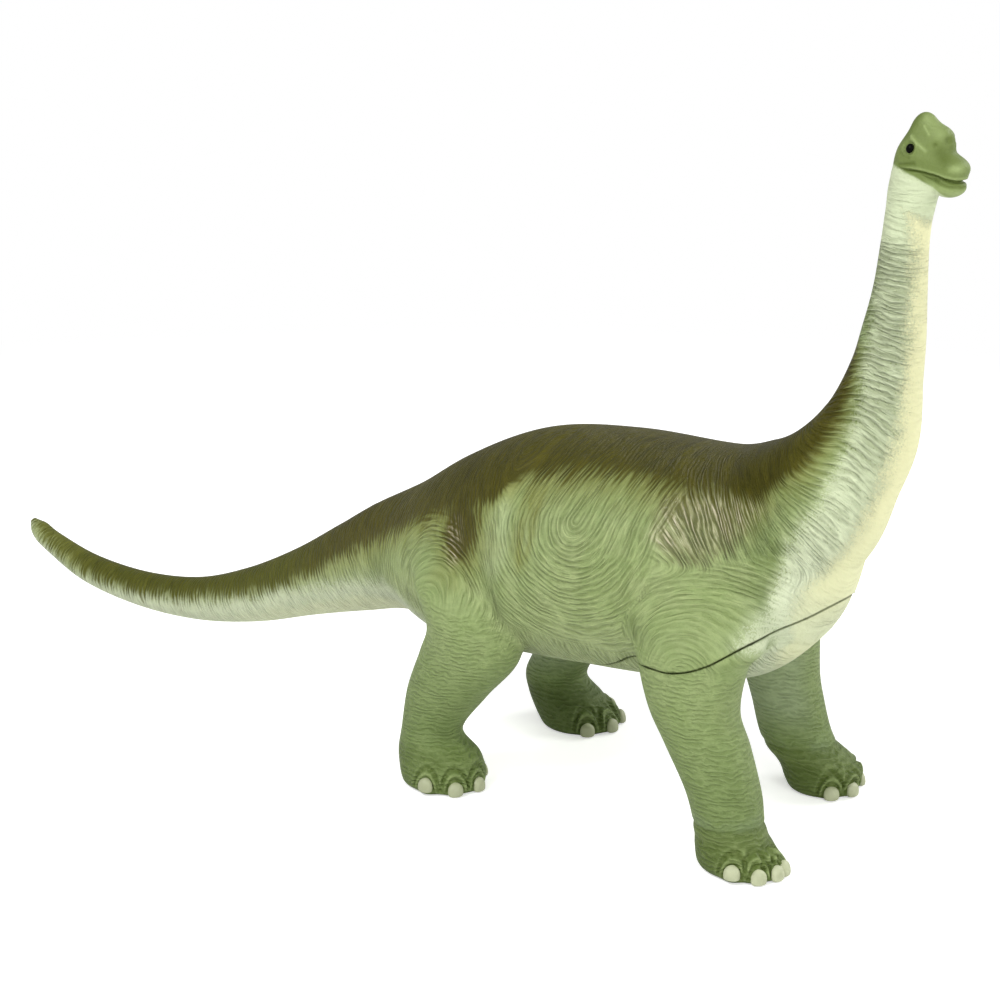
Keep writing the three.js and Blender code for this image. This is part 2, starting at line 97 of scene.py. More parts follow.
# %% The rows of the legs: share of the way down, bow, share of the way out, width, depth
LEG_ROWS = {
    "fore_right": ((0, 0, 0, .92, 1), (.15, .008, .44, 1.05, 1.03),
                   (.25, .018, .68, 1, .985), (.32, -.019, .83, .94, .875),
                   (.47, -.041, 1, .82, .775), (.59, -.021, 1, .8, .775), (.74, .001, 1, .8, .73),
                   (.86, -.006, 1, .81, .73), (.92, -.003, 1, .93, .84), (.97, .006, 1, .98, .98),
                   (1, .008, 1, .93, .96)),
    "fore_left": ((0, 0, 0, .92, 1), (.15, -.045, .44, 1.05, 1.0), (.36, -.112, .83, .92, .86),
                  (.56, -.127, 1, .81, .745), (.68, -.118, 1, .81, .722), (.83, -.098, 1, .82, .82),
                  (.91, -.024, 1, .95, .93), (.96, -.02, 1, .99, .87), (1, -.018, 1, .93, .82)),
    "hind_right": ((0, .03, 0, .83, .85), (.15, .1, .5, 1.04, .75), (.31, .184, .85, .95, .73),
                   (.44, .163, 1, .79, .855), (.61, .045, 1, .75, .75), (.78, -.044, 1, .69, .6),
                   (.87, -.015, 1, .84, .9), (.94, -.006, 1, .98, .94), (.98, 0, 1, .99, .95),
                   (1, 0, 1, .91, .95)),
    "hind_left": ((0, .03, 0, .83, .87), (.15, .02, .5, 1.04, .95), (.31, .05, .85, 1, .93),
                  (.44, .097, 1, .85, .85), (.65, -.009, 1, .76, .65), (.79, -.1, 1, .69, .66),
                  (.87, -.068, 1, .82, .84), (.93, -.028, 1, .97, .94), (.97, -.004, 1, 1.05, .95),
                  (1, 0, 1, 1, .91))}
# where the leg starts (x, y share of the torso's width, z), its step, thigh and foot
LEG_PLAN = {"fore": ((184, .24 * 116, 118), (48, 60), (32, 36)),
            "hind": ((64, .224 * 116, 108), (48, 66), (34, 38))}
LEG_STEP = {"fore_right": 35, "fore_left": 24, "hind_right": 7, "hind_left": 16}
TRACK = 92


def leg_stations(name):
    """A leg's rows as millimetres: x = root + share down * step + bow * root height; y goes from
    the root's y to half the track; the half sizes go from thigh to foot as the leg goes down."""
    down, bow, out, wide, deep = np.array(LEG_ROWS[name], float).T
    (root_x, root_y, root_z), thigh, foot = LEG_PLAN[name.split("_")[0]]
    side = -1 if name.endswith("right") else 1
    return np.stack((
        root_x + down * LEG_STEP[name] + bow * root_z,
        side * (root_y + (TRACK / 2 - root_y) * out),
        root_z * (1 - down),
        wide * (thigh[0] + (foot[0] - thigh[0]) * down) / 2,
        deep * (thigh[1] + (foot[1] - thigh[1]) * down) / 2), 1)


print("rows:", {n: len(r) for n, r in LEG_ROWS.items()})

# %% [markdown]
# ## One skin over many limbs
# On the toy the limbs run into each other in soft hollows, as clay does under a thumb. Joining
# meshes would leave hard creases there. So each limb is written as a distance: how far a point is
# from the limb's surface, negative inside. A smooth minimum of such distances melts the limbs
# together, and one net drawn where the distance is zero is the whole skin, closed by itself.

# %% Distance to an ellipse, and the smooth minimum
def ellipse_gap(u, v, half_u, half_v):
    """About how far (u, v) is from an ellipse: k (k - 1) / g, where k is the point's radius as a
    share of the ellipse's, and g is the same with each half size squared."""
    k = np.sqrt((u / half_u) ** 2 + (v / half_v) ** 2) + 1e-9
    g = np.sqrt((u / half_u**2) ** 2 + (v / half_v**2) ** 2) + 1e-12
    return k * (k - 1) / g


def melt(a, b, width):
    """The lesser of two distances, rounded where they are within width of each other."""
    return np.minimum(a, b) - np.maximum(width - np.abs(a - b), 0) ** 2 / (4 * width)


def carve(a, b, width):
    """The greater of two distances, rounded in the same way."""
    return -melt(-a, -b, width)


# %% Limbs whose sections stand square to one axis
class Straight:
    """Ellipses stacked along one axis: the torso along x, the legs and the head along z."""

    def __init__(self, rows, axis):
        self.axis = axis
        self.other = 2 if axis == 0 else 0
        line = smooth_rows(rows)
        self.line = line[np.argsort(line[:, axis])]

    def local(self, points):
        """Each point as its place on the axis, across, and up or forward from the middle."""
        s = np.clip(points[:, self.axis], *self.line[[0, -1], self.axis])
        at = [np.interp(s, self.line[:, self.axis], self.line[:, k])
              for k in (1, self.other, 3, 4)]
        return s, points[:, 1] - at[0], points[:, self.other] - at[1], at[2], at[3]

    def gap(self, points):
        """The distance to the section's ellipse; past an end, the hypotenuse of that and the way
        to the end."""
        s, across, up, wide, deep = self.local(points)
        gap = ellipse_gap(across, up, wide, deep)
        past = np.abs(points[:, self.axis] - s)
        return np.where(past > 0, np.hypot(np.maximum(gap, 0), past), gap)


# %% Limbs whose sections stand square to a bent line
class Bent:
    """Ellipses square to a line in the plane y = 0: the neck (way 1) and the tail (way -1)."""

    def __init__(self, rows, way):
        self.line, self.way = smooth_rows(rows), way
        middle = self.line[:, (0, 2)]
        self.length = np.concatenate(([0], np.cumsum(np.hypot(*np.diff(middle, axis=0).T))))
        tangent = np.gradient(middle, self.length, axis=0)
        bend = np.gradient(tangent, self.length, axis=0)
        self.table = np.hstack((middle, tangent, bend, self.line[:, 3:])).T

    def at(self, s, first=8):
        """x, z, the tangent's, the bend's, half width and half depth, s mm along the line."""
        return [np.interp(s, self.length, v) for v in self.table[:first]]

    def local(self, points):
        """The nearest place on the line by Newton's method, started from the chord."""
        px, pz = points[:, 0], points[:, 2]
        start = self.table[:2, 0]
        chord = self.table[:2, -1] - start
        along = ((px - start[0]) * chord[0] + (pz - start[1]) * chord[1]) / (chord @ chord)
        s = np.clip(along, 0, 1) * self.length[-1]
        for _ in range(4):
            x, z, tx, tz, kx, kz = self.at(s, 6)
            ex, ez = px - x, pz - z
            bend = np.maximum(1 - ex * kx - ez * kz, 0.4)
            s = np.clip(s + (ex * tx + ez * tz) / bend, 0, self.length[-1])
        x, z, tx, tz, _, _, wide, deep = self.at(s)
        up = ((pz - z) * tx - (px - x) * tz) * self.way
        return s, points[:, 1], up, wide, deep, (px - x) * tx + (pz - z) * tz

    def gap(self, points):
        """The distance, as for a straight limb."""
        _, across, up, wide, deep, past = self.local(points)
        gap = ellipse_gap(across, up, wide, deep)
        return np.where(np.abs(past) > 0.01, np.hypot(np.maximum(gap, 0), past), gap)


def stations(rows):
    """(x, z, half width, half depth) as full stations with y = 0."""
    return np.insert(rows, 1, 0, axis=1)


torso, head = Straight(stations(TORSO), 0), Straight(stations(HEAD), 2)
tail, neck = Bent(stations(TAIL), -1), Bent(stations(NECK), 1)
legs = {name: Straight(leg_stations(name), 2) for name in LEG_ROWS}
print("tail", round(tail.length[-1]), "mm long, neck", round(neck.length[-1]), "mm long")

# %% The whole skin as one distance
FAR = 30.0  # a distance in mm at which nothing melts any more


def near(points, form, margin=16.0):
    """The limb's distance, worked out only inside the limb's own box, and large elsewhere."""
    line, reach = form.line[:, :3], form.line[:, (4, 3, 4)].max(0) + margin
    inside = ((points > line.min(0) - reach) & (points < line.max(0) + reach)).all(1)
    gap = np.full(len(points), FAR)
    gap[inside] = form.gap(points[inside])
    return gap


def egg(points, centre, half, turn=0.0, margin=8.0):
    """Distance to an ellipsoid turned about z, in the same way as ellipse_gap()."""
    gap = np.full(len(points), FAR)
    offset = points - centre
    inside = (np.abs(offset) < max(half) + margin).all(1)
    x, y, z = offset[inside].T
    c, s = np.cos(turn), np.sin(turn)
    shares = np.stack(((x * c + y * s) / half[0], (y * c - x * s) / half[1], z / half[2]))
    k = np.sqrt((shares**2).sum(0)) + 1e-9
    g = np.sqrt(((shares / np.array(half)[:, None]) ** 2).sum(0)) + 1e-12
    gap[inside] = k * (k - 1) / g
    return gap


# the head's lumps: middle x and z, half sizes along, across and up, and how softly each melts in
HEAD_LUMPS = (
    (257.5, 270.5, 8.8, 8.1, 15.5, 3),  # nape
    (261.1, 279.8, 9.6, 8.4, 9.4, 4),  # brain case and cheeks
    (261.0, 285.2, 6.6, 4.6, 10.6, 3),  # crest
    (266.0, 285.0, 6.9, 6.0, 6.6, 2.5),  # forehead
    (266.5, 276.8, 9.3, 7.9, 5.6, 4),  # face
    (261.5, 270.0, 7.4, 7.0, 5.2, 3),  # throat
    (272.7, 275.7, 6.2, 6.1, 5.0, 2),  # snout
    (271.3, 269.5, 6.6, 6.0, 4.3, 0.9))  # lower jaw


def head_gap(points):
    """Eight egg-shaped lumps melted together."""
    gap = np.full(len(points), FAR)
    for x, z, long, wide, tall, soft in HEAD_LUMPS:
        gap = melt(gap, egg(points, (x, 0, z), (long, wide, tall)), soft)
    return gap


# the toes of each foot in degrees, from the outer one to the inner one; 0 is forward
TOE_ANGLES = {"fore_right": (73, 39, 9, -12), "fore_left": (70, 38, -10, -47),
              "hind_right": (80, 39, 0, -60), "hind_left": (76, 36, -5, -46)}
TOE_HALF = (7.1, 5.3, 8.3)  # a toe's half length, width and height


def toes(name):
    """The foot's station, and how far forward and aside of its middle each toe's tip lies."""
    foot = leg_stations(name)[-2]
    angles = np.radians(TOE_ANGLES[name])
    aside = foot[3] * np.sin(angles) * (-1 if name.endswith("right") else 1)
    return foot, np.stack((foot[4] * np.cos(angles), aside), 1)


def toes_gap(points, name):
    """Four lumps round the front of a foot, each pointing away from the foot's middle."""
    foot, tips = toes(name)
    gap = np.full(len(points), FAR)
    for fore, aside in tips:
        centre = (foot[0] + 0.62 * fore, foot[1] + 0.62 * aside, 1.5)
        gap = np.minimum(gap, egg(points, centre, TOE_HALF, np.arctan2(aside, fore)))
    return gap


def skin_gap(points):
    """Torso, neck, tail, head and legs melted together, with flat soles on the floor. The last
    number of each call is how softly the two meet, in mm."""
    gap = melt(near(points, torso), near(points, neck), 5)
    gap = melt(melt(gap, near(points, tail), 5), head_gap(points), 4)
    for name, leg in legs.items():
        top = LEG_PLAN[name.split("_")[0]][0][2]
        limb = carve(near(points, leg), points[:, 2] - top + 10, 14)
        limb = melt(limb, toes_gap(points, name), 2.2)
        limb = carve(limb, 0.3 - points[:, 2], 2.0)
        gap = melt(gap, limb, 4 if name.startswith("hind") else 6)
    return gap


# %% A net over the zero of a distance
def surface_net(gap, low, high, step):
    """A closed net of triangles where gap is zero. Space is cut into cubes. Each cube that the
    surface passes through gets one point, the mean of the places where its edges cross the
    surface, and each crossed edge becomes one face between the four cubes round it."""
    axes = [np.arange(a, b + step, step) for a, b in zip(low, high)]
    grid = np.stack(np.meshgrid(*axes, indexing="ij"), -1)
    value = np.concatenate([gap(slab.reshape(-1, 3)).reshape(slab.shape[:-1])[None]
                            for slab in grid])
    shape = value.shape
    total = np.zeros((np.prod(shape), 3))
    hits = np.zeros(np.prod(shape))
    faces = []
    for axis in range(3):
        lower = [slice(None)] * 3
        upper = [slice(None)] * 3
        lower[axis], upper[axis] = slice(0, -1), slice(1, None)
        a, b = value[tuple(lower)], value[tuple(upper)]
        crossed = np.argwhere((a < 0) != (b < 0))
        key = tuple(crossed.T)
        place = crossed.astype(float)
        place[:, axis] += a[key] / (a[key] - b[key])
        one, two = np.eye(3, dtype=int)[[(axis + 1) % 3, (axis + 2) % 3]]
        ring = [np.ravel_multi_index((crossed - shift).T, shape)
                for shift in (0 * one, one, one + two, two)]
        for cube in ring:
            hits += np.bincount(cube, minlength=len(hits))
            for k in range(3):
                total[:, k] += np.bincount(cube, place[:, k], minlength=len(hits))
        ring = np.stack(ring, 1)
        faces.append(np.where((a[key] < 0)[:, None], ring, ring[:, ::-1]))
    used = hits > 0
    number = np.cumsum(used) - 1
    points = total[used] / hits[used, None] * step + np.asarray(low)
    quads = number[np.vstack(faces)]
    return points, np.vstack((quads[:, (0, 1, 2)], quads[:, (0, 2, 3)]))


# %% Settling a net onto its surface
def slope(gap, points, reach=0.25):
    """The distance and its gradient, from four values round each point."""
    ways = np.array(((1, 1, 1), (1, -1, -1), (-1, 1, -1), (-1, -1, 1)), float) * reach
    values = np.stack([gap(points + w) for w in ways], 1)
    return values.mean(1), values @ ways / (4 * reach**2)


def sides_of(triangles):
    """The two ends of every side of every triangle, in the triangle's own turn."""
    return triangles[:, ((0, 1), (1, 2), (2, 0))].reshape(-1, 2)


def edges_of(triangles):
    """Each edge once, as a sorted pair, and which edge every side of every triangle is."""
    pairs = np.sort(sides_of(triangles), 1).astype(np.int64)
    size = int(pairs.max()) + 1
    keys, back = np.unique(pairs[:, 0] * size + pairs[:, 1], return_inverse=True)
    return np.stack((keys // size, keys % size), 1), back.reshape(-1, 3)


def settle(gap, points, triangles, rounds, relax=0.5):
    """Moves each point along the gradient onto the surface, and along the surface towards the
    mean of its neighbours, so that the triangles even out."""
    edges, _ = edges_of(triangles)
    ends = np.concatenate((edges[:, 0], edges[:, 1]))
    others = np.concatenate((edges[:, 1], edges[:, 0]))
    share = np.bincount(ends, minlength=len(points))[:, None]
    for _ in range(rounds):
        value, away = slope(gap, points)
        away /= (np.linalg.norm(away, axis=1)[:, None] + 1e-9) ** 2
        points = points - np.clip(value, -2, 2)[:, None] * away
        if relax:
            normal = away / (np.linalg.norm(away, axis=1)[:, None] + 1e-9)
            mean = np.stack([np.bincount(ends, points[others, k], minlength=len(points))
                             for k in range(3)], 1) / share
            move = mean - points
            points = points + relax * (move - (move * normal).sum(1)[:, None] * normal)
    return points


# %% Splitting edges, to make a net finer or to cut it
def split(points, triangles, where):
    """where(points, edges) gives the share of each edge at which it is split, or nan. A triangle
    with one, two or three split edges becomes two, three or four triangles."""
    edges, back = edges_of(triangles)
    share = where(points, edges)
    marked = ~np.isnan(share)
    number = np.full(len(edges), -1)
    number[marked] = len(points) + np.arange(marked.sum())
    t = share[marked, None]
    added = points[edges[marked, 0]] * (1 - t) + points[edges[marked, 1]] * t
    mid = number[back]
    count = (mid >= 0).sum(1)
    out = [triangles[count == 0]]
    for k in range(3):
        t3, m3 = np.roll(triangles, -k, 1), np.roll(mid, -k, 1)
        pick = (count == 1) & (m3[:, 0] >= 0)
        a, b, c, m = *t3[pick].T, m3[pick, 0]
        out += [np.stack(q, 1) for q in ((a, m, c), (m, b, c))]
        pick = (count == 2) & (m3[:, 2] < 0)
        a, b, c, m, n = *t3[pick].T, *m3[pick, :2].T
        out += [np.stack(q, 1) for q in ((m, b, n), (a, m, n), (a, n, c))]
    pick = count == 3
    a, b, c, m, n, o = *triangles[pick].T, *mid[pick].T
    out += [np.stack(q, 1) for q in ((a, m, o), (m, b, n), (o, n, c), (m, n, o))]
    return np.vstack((points, added)), np.vstack(out)


def halves(keep):
    """A rule for split(): every edge whose middle passes keep() is split there."""
    return lambda points, edges: np.where(keep(points[edges].mean(1)), 0.5, np.nan)


def everywhere(p):
    """All of the skin."""
    return p[:, 0] > -np.inf


# %% The net of the skin
LOW, HIGH = np.array((-245.0, -75, -6)), np.array((300.0, 75, 305))
skin, faces = surface_net(skin_gap, LOW, HIGH, 1.9)
skin = settle(skin_gap, skin, faces, 3)
skin, faces = split(skin, faces, halves(everywhere))
skin = settle(skin_gap, skin, faces, 2)
print("skin net:", len(skin), "points,", len(faces), "triangles")

# %% [markdown]
# ## Where each point of the skin lies
# Folds run round the neck and the tail like rings, and paint is sprayed along the back. So every
# point needs to know its place on the animal: how far along the spine, how far round, which limb.
# These numbers are kept on the mesh as attributes, so that the materials can read them later.

# %% Places along the spine and down the legs
def ease(low, high, x):
    """0 at low, 1 at high, and a smooth S between them; low may be the greater one."""
    t = np.clip((x - low) / (high - low), 0, 1)
    return t * t * (3 - 2 * t)


def spine_place(points):
    """Along, across and up from the spine in mm, and the share of the way from belly (-1) to back
    (1): each limb's own numbers, weighed by how near its surface is."""
    rows = []
    # where each limb's own zero lies on the spine, and which way it counts
    for form, zero, way in ((torso, 0, 1), (tail, 54, -1), (neck, 174, 1), (head, 97, 1)):
        s, across, up, _, deep = form.local(points)[:5]
        if form is head:
            up = -up
        share = np.clip(up / deep, -1.3, 1.3)
        gap = form.gap(points)
        if form is torso:  # its blunt ends lie inside neck and tail, and don't count
            gap = gap + 25 * ease(212, 236, points[:, 0]) + 25 * ease(30, 6, points[:, 0])
        rows.append((gap, zero + way * s, across, up, share, deep))
    rows = np.array(rows)
    weight = np.exp(-(rows[:, 0] - rows[:, 0].min(0)) / 4)
    weight /= weight.sum(0)
    return (rows[:, 1:] * weight[:, None]).sum(0), rows[:, 0].min(0)


def limb_place(points):
    """Down, across and forward from the middle of the nearest leg, and that leg's distance."""
    gaps = np.stack([leg.gap(points) for leg in legs.values()])
    which = gaps.argmin(0)
    place = np.zeros((len(points), 3))
    for k, (name, leg) in enumerate(legs.items()):
        pick = which == k
        s, across, fore, _, _ = leg.local(points[pick])
        place[pick] = np.stack((LEG_PLAN[name.split("_")[0]][0][2] - s, across, fore), 1)
    return place, gaps.min(0)


# %% [markdown]
# ## Folds that the mould gives
# Toes, the hollows between them, the mouth and the brow are too big for a painted bump, so the
# points themselves are moved along the normal. The net is made finer on the head and feet first.

# %% A finer net on the head and the feet
def detailed(p):
    """The head and the feet."""
    return ((p[:, 2] > 258) & (p[:, 0] > 240)) | (p[:, 2] < 17)


def fine(p):
    """The mouth, the eyes and the brow."""
    near_mouth = np.abs(p[:, 2] - 274) < 4.5
    return (p[:, 0] > 250) & (p[:, 2] > 264) & (near_mouth | (np.abs(p[:, 2] - 285) < 7))


skin, faces = split(skin, faces, halves(detailed))
skin = settle(skin_gap, skin, faces, 1)
skin, faces = split(skin, faces, halves(fine))
skin = settle(skin_gap, skin, faces, 1)
value, normal = slope(skin_gap, skin)
normal /= np.linalg.norm(normal, axis=1)[:, None]
print("finer net:", len(skin), "points")

# %% Mouth, brow and the folds over the nails
UPPER_LIP = np.array(((240, 276), (260, 275.6), (264.8, 275.2), (268.8, 274.2), (272.3, 272.8),
                      (275.7, 272.1), (284, 272.4)))
LOWER_LIP = np.array(((262, 274.8), (266.6, 272), (269.8, 270.7), (274.2, 269.4), (284, 269.4)))
# strokes on the face: from x, z to x, z, half width, how far it moves the skin out, and how much
# painted shade (or, below 0, painted highlight) it gets
STROKES = (
    (258.0, 287.2, 264.9, 282.6, 0.75, 0.55, -0.7),  # brow
    (262.2, 291.0, 265.0, 288.4, 0.6, 0.45, -0.6),  # ridge under the crest
    (262.5, 294.0, 269.0, 288.8, 2.2, 0.0, -0.5),  # front of the crest
    (254.5, 287.0, 258.6, 294.0, 1.8, 0.0, 0.7),  # back of the crest
    (269.8, 282.2, 272.8, 277.8, 2.0, -0.3, 1.0),  # hollow before the snout
    (274.2, 276.8, 277.0, 276.5, 1.7, 0.2, -0.8),  # snout
    (254.6, 276.6, 261.0, 277.7, 0.8, -0.5, 0.8),  # crease of the cheek
    (254.8, 281.0, 258.6, 279.6, 0.8, -0.3, 0.5),  # under the eye
    (267.8, 284.7, 267.9, 284.8, 0.8, -0.5, 0.9),  # pit
    (271.6, 286.8, 271.9, 285.9, 0.75, -0.6, 0.8))  # nostril


def bell(x, middle, width):
    """1 at the middle, falling off as a bell curve of this width."""
    return np.exp(-(((x - middle) / width) ** 2))


def stroke(points, x, z, to_x, to_z, half):
    """1 on the line between two places of the side view, falling off to 0 beyond its half width."""
    way = np.array((to_x - x, to_z - z))
    u, v = points[:, 0] - x, points[:, 2] - z
    t = np.clip((u * way[0] + v * way[1]) / (way @ way), 0, 1)
    return bell(np.hypot(u - t * way[0], v - t * way[1]), 0, half)


def above_lips(points):
    """How far a point is above the edges of the upper and of the lower lip."""
    return [points[:, 2] - np.interp(points[:, 0], *lip.T) for lip in (UPPER_LIP, LOWER_LIP)]


def face_folds(points):
    """The mouth is a slit below the upper lip's edge, with a hollow band down to the lower lip;
    each stroke raises or sinks the skin a little."""
    x, y, z = points.T
    here = ease(252, 258, x) * ease(262, 266, z)
    upper, lower = above_lips(points)
    lips = ease(262, 267, x) * ease(278, 274.5, x)
    move = here * (0.45 * bell(upper, 0.6, 0.7) - 1.0 * bell(upper, -0.5, 0.5)
                   - 0.5 * lips * bell(lower, 0.2, 0.5) + 0.3 * lips * bell(lower, -1.0, 0.8))
    for *line, out, _ in STROKES:
        move += out * stroke(points, *line)
    eye = np.hypot((x - 258.0) * 0.95, z - 283.0)
    move += (0.25 * bell(eye, 2.9, 0.6) - 0.45 * bell(eye, 2.1, 0.5)) * (np.abs(y) > 3)
    return move * (z > 262) * (x > 248)


def face_light_and_shade(points):
    """The face's painted shade, or below 0 its painted highlight: the strokes, and the band between
    the lips.
    """
    x, z = points[:, 0], points[:, 2]
    head_share = ease(254, 262, z - 0.3 * (x - 262)) * (x > 240)
    tone = 0.25 * ease(281, 278, z) * ease(272, 268, x) * ease(272, 275, z)
    for *line, _, dark in STROKES:
        tone = tone + dark * stroke(points, *line)
    upper, lower = above_lips(points)
    # the slit and the band between the lips are painted shade; the upper lip's edge and the lower jaw
    # get a painted highlight
    band = ease(0.3, -0.5, upper) * ease(-0.5, 0.3, lower) * ease(261, 265, x)
    slit = bell(upper, -0.5, 0.5) * ease(252, 257, x)
    tone = tone + 0.45 * band + 0.7 * slit - 0.6 * bell(upper, 0.7, 0.6) * ease(252, 257, x)
    tone = tone - 0.8 * bell(lower, -2.0, 1.6) * ease(264, 268, x)
    return np.clip(tone, -1, 1.2) * head_share


# a nail's arch, in radii of the nail's outline: how far it moves the skin, where, and how widely
NAIL_ARCHES = ((0.8, 1.26, 0.14), (-0.6, 1.0, 0.12), (-0.65, 1.55, 0.14), (0.3, 1.85, 0.14))


def nail_folds(points):
    """Over every nail the skin makes a low arch, with a crease under it where the nail comes out
    and another above it. The fore feet also have a crease round the ankle."""
    move = np.zeros(len(points))
    for name in legs:
        foot, tips = toes(name)
        for tip in tips:
            reach = np.hypot(*tip)
            out = tip / reach
            near_toe = np.abs(points - (*(foot[:2] + tip), 6)).max(1) < 12
            p = points[near_toe] - (foot[0], foot[1], 0)
            across = p[:, 1] * out[0] - p[:, 0] * out[1]
            front = ease(0.45, 0.8, (p[:, :2] @ out) / reach) * ease(1, 4, p[:, 2])
            arch = np.hypot(across / 3.9, (p[:, 2] - 0.5) / 7.2)
            move[near_toe] += front * sum(up * bell(arch, *at) for up, *at in NAIL_ARCHES)
        if name.startswith("fore"):
            near_foot = np.abs(points - (foot[0], foot[1], 18)).max(1) < 28
            height = points[near_foot, 2]
            move[near_foot] -= 0.5 * bell(height, 18.5, 0.9) - 0.25 * bell(height, 15.5, 1.5)
    return move


moved = face_folds(skin) + nail_folds(skin)
skin = skin + normal * moved[:, None]
print("folds move the skin by", moved.min().round(2), "to", moved.max().round(2), "mm")

# %% [markdown]
# ## Where each spray of paint ends
# A spray follows the animal's form: the dark one comes down from the back, the pale one up from
# belly and throat. So an edge is a curve along the spine that says how far down or up the side the
# paint goes. The mesh keeps how deep a point lies inside each spray, in mm, and the material turns
# that depth into soft paint later. Patches on haunch and shoulder are tilted ellipses.

# %% The edges of the sprays
# where the dark spray ends, as a share of the way up the side, along the spine
DARK_EDGE = np.array((
    (-235, .5), (-222, .3), (-205, .1), (-171, .05), (-113, .28), (-55, .12), (9, .35), (41, .44),
    (64, .5), (88, .48), (96, .52), (102, .66), (110, .74), (138, .8), (160, .84), (176, .79),
    (199, .72), (221, .5), (246, .33), (263, .4), (280, .43), (292, .65), (302, .95), (312, 1.3),
    (400, 1.5)))
# where the cream spray starts, as a share of the way down, and how much of it there is
PALE_EDGE = np.array((
    (-235, 1.3), (-200, .9), (-171, .5), (-115, .25), (-57, .3), (0, .42), (40, .65), (70, 1),
    (120, 1.05), (200, 1.0), (212, .84), (225, .71), (245, .69), (263, .62), (295, .58), (325, .45),
    (347, .25), (356, 0), (362, -.4), (400, -.5)))
CREAM_SHARE = np.array(((-235, 0), (-115, .05), (-57, .3), (30, .4), (60, .05), (205, .05),
                        (222, .9), (250, 1), (400, 1)))
# under the head the pale spray stops along the jaw
JAW_LINE = np.array(((240, 275.5), (252.5, 273.2), (257.6, 271.4), (262, 269.8), (265.6, 267.6),
                     (268.4, 265.8), (290, 250)))
# millimetres below the jaw line against how far into the cream spray that counts as
JAW_FADE = np.array(((-4, -25), (-2.5, -11), (0, -5.5), (3, -2.5), (8, -1), (13, 4.5), (24, 14)))
# how steeply the folds fan down towards the chest, along the spine
FAN = np.array(((170, 0), (205, .7), (230, .7), (264, .35), (300, .1), (400, 0)))

# %% Patches, swirls and leaning folds
def patch(points, x, z, half_x, half_z, tilt=0.0):
    """How deep a point lies inside a tilted ellipse on the flank, in mm."""
    u, v = points[:, 0] - x, points[:, 2] - z
    c, s = np.cos(np.radians(tilt)), np.sin(np.radians(tilt))
    return -ellipse_gap(u * c + v * s, v * c - u * s, half_x, half_z)


def swirl(points, limb_share):
    """Rings round a point on the flank: a U that opens upwards, and arches over both thighs. The
    first number is the ring's radius, the second the place along it, the third the share."""
    x, z = points[:, 0], points[:, 2]
    side = ease(22, 36, np.abs(points[:, 1]))
    dx, dz = x - 142 - 0.25 * np.maximum(z - 131, 0), z - 131
    u = np.hypot(dx, np.minimum(dz, 0))
    v = np.where(dz < 0, u * np.arctan2(dx, -dz), np.sign(dx) * (u * np.pi / 2 + dz))
    place = np.stack((u, v, 0 * u), 1)
    share = side * ease(41, 32, np.abs(dx)) * ease(74, 82, z) * ease(160, 146, z) * (1 - limb_share)
    for cx, cz, back, front in ((199, 80, 42, 62), (72, 84, 40, 34)):
        dx, dz = x - cx, z - cz
        u = np.hypot(dx, dz)
        reach = back + (front - back) * ease(-0.2, 0.8, dx / (u + 1))
        arch = side * ease(reach, reach - 10, u) * ease(-2, 10, dz + 0.2 * np.maximum(dx, 0))
        place = np.where((arch > share)[:, None],
                         np.stack((u, u * np.arctan2(dz, dx), 0 * u + 50), 1), place)
        share = np.maximum(arch, share) * ease(0, 0.3, np.abs(arch - share))
    return place, share


def lean(points):
    """On the haunch and the shoulder the folds run down and forward: their place along the spine
    is moved on by their height."""
    x, z = points[:, 0], points[:, 2]
    shoulder = ease(148, 190, x) * ease(250, 215, x) * ease(110, 122, z)
    haunch = ease(56, 80, x) * ease(112, 96, x)
    return 0.85 * np.clip(z - 132, -30, 24) * shoulder + 0.6 * np.clip(z - 118, -30, 30) * haunch


# %% Every number that is kept on the mesh
def cream_depth(points, along, back_share, depth, limb_share):
    """How deep a point lies in the pale spray, in mm. Under the head the jaw line ends it, and on
    a leg only the front of the chest's side is pale."""
    pale = (-back_share - np.interp(along, *PALE_EDGE.T)) * depth
    under_jaw = np.interp(points[:, 0], *JAW_LINE.T) - points[:, 2]
    pale = np.where(along > 315, np.minimum(pale, np.interp(under_jaw, *JAW_FADE.T)), pale)
    on_leg = np.clip(points[:, 0] - 224, -40, 0) - 30 * ease(94, 72, points[:, 2])
    return np.clip(pale, -40, 14) * (1 - limb_share) + on_leg * limb_share, under_jaw


def fold_depth(points, along, under_jaw, limb_share):
    """How deep the folds are: deeper on the neck, shallower on legs, throat and head."""
    depth = 1 + 0.8 * ease(255, 290, along) - 0.45 * limb_share
    depth *= 1 - 0.75 * ease(340, 348, along)
    return depth * (1 - 0.9 * ease(-2.5, 1.5, -under_jaw) * ease(250, 262, points[:, 2]))


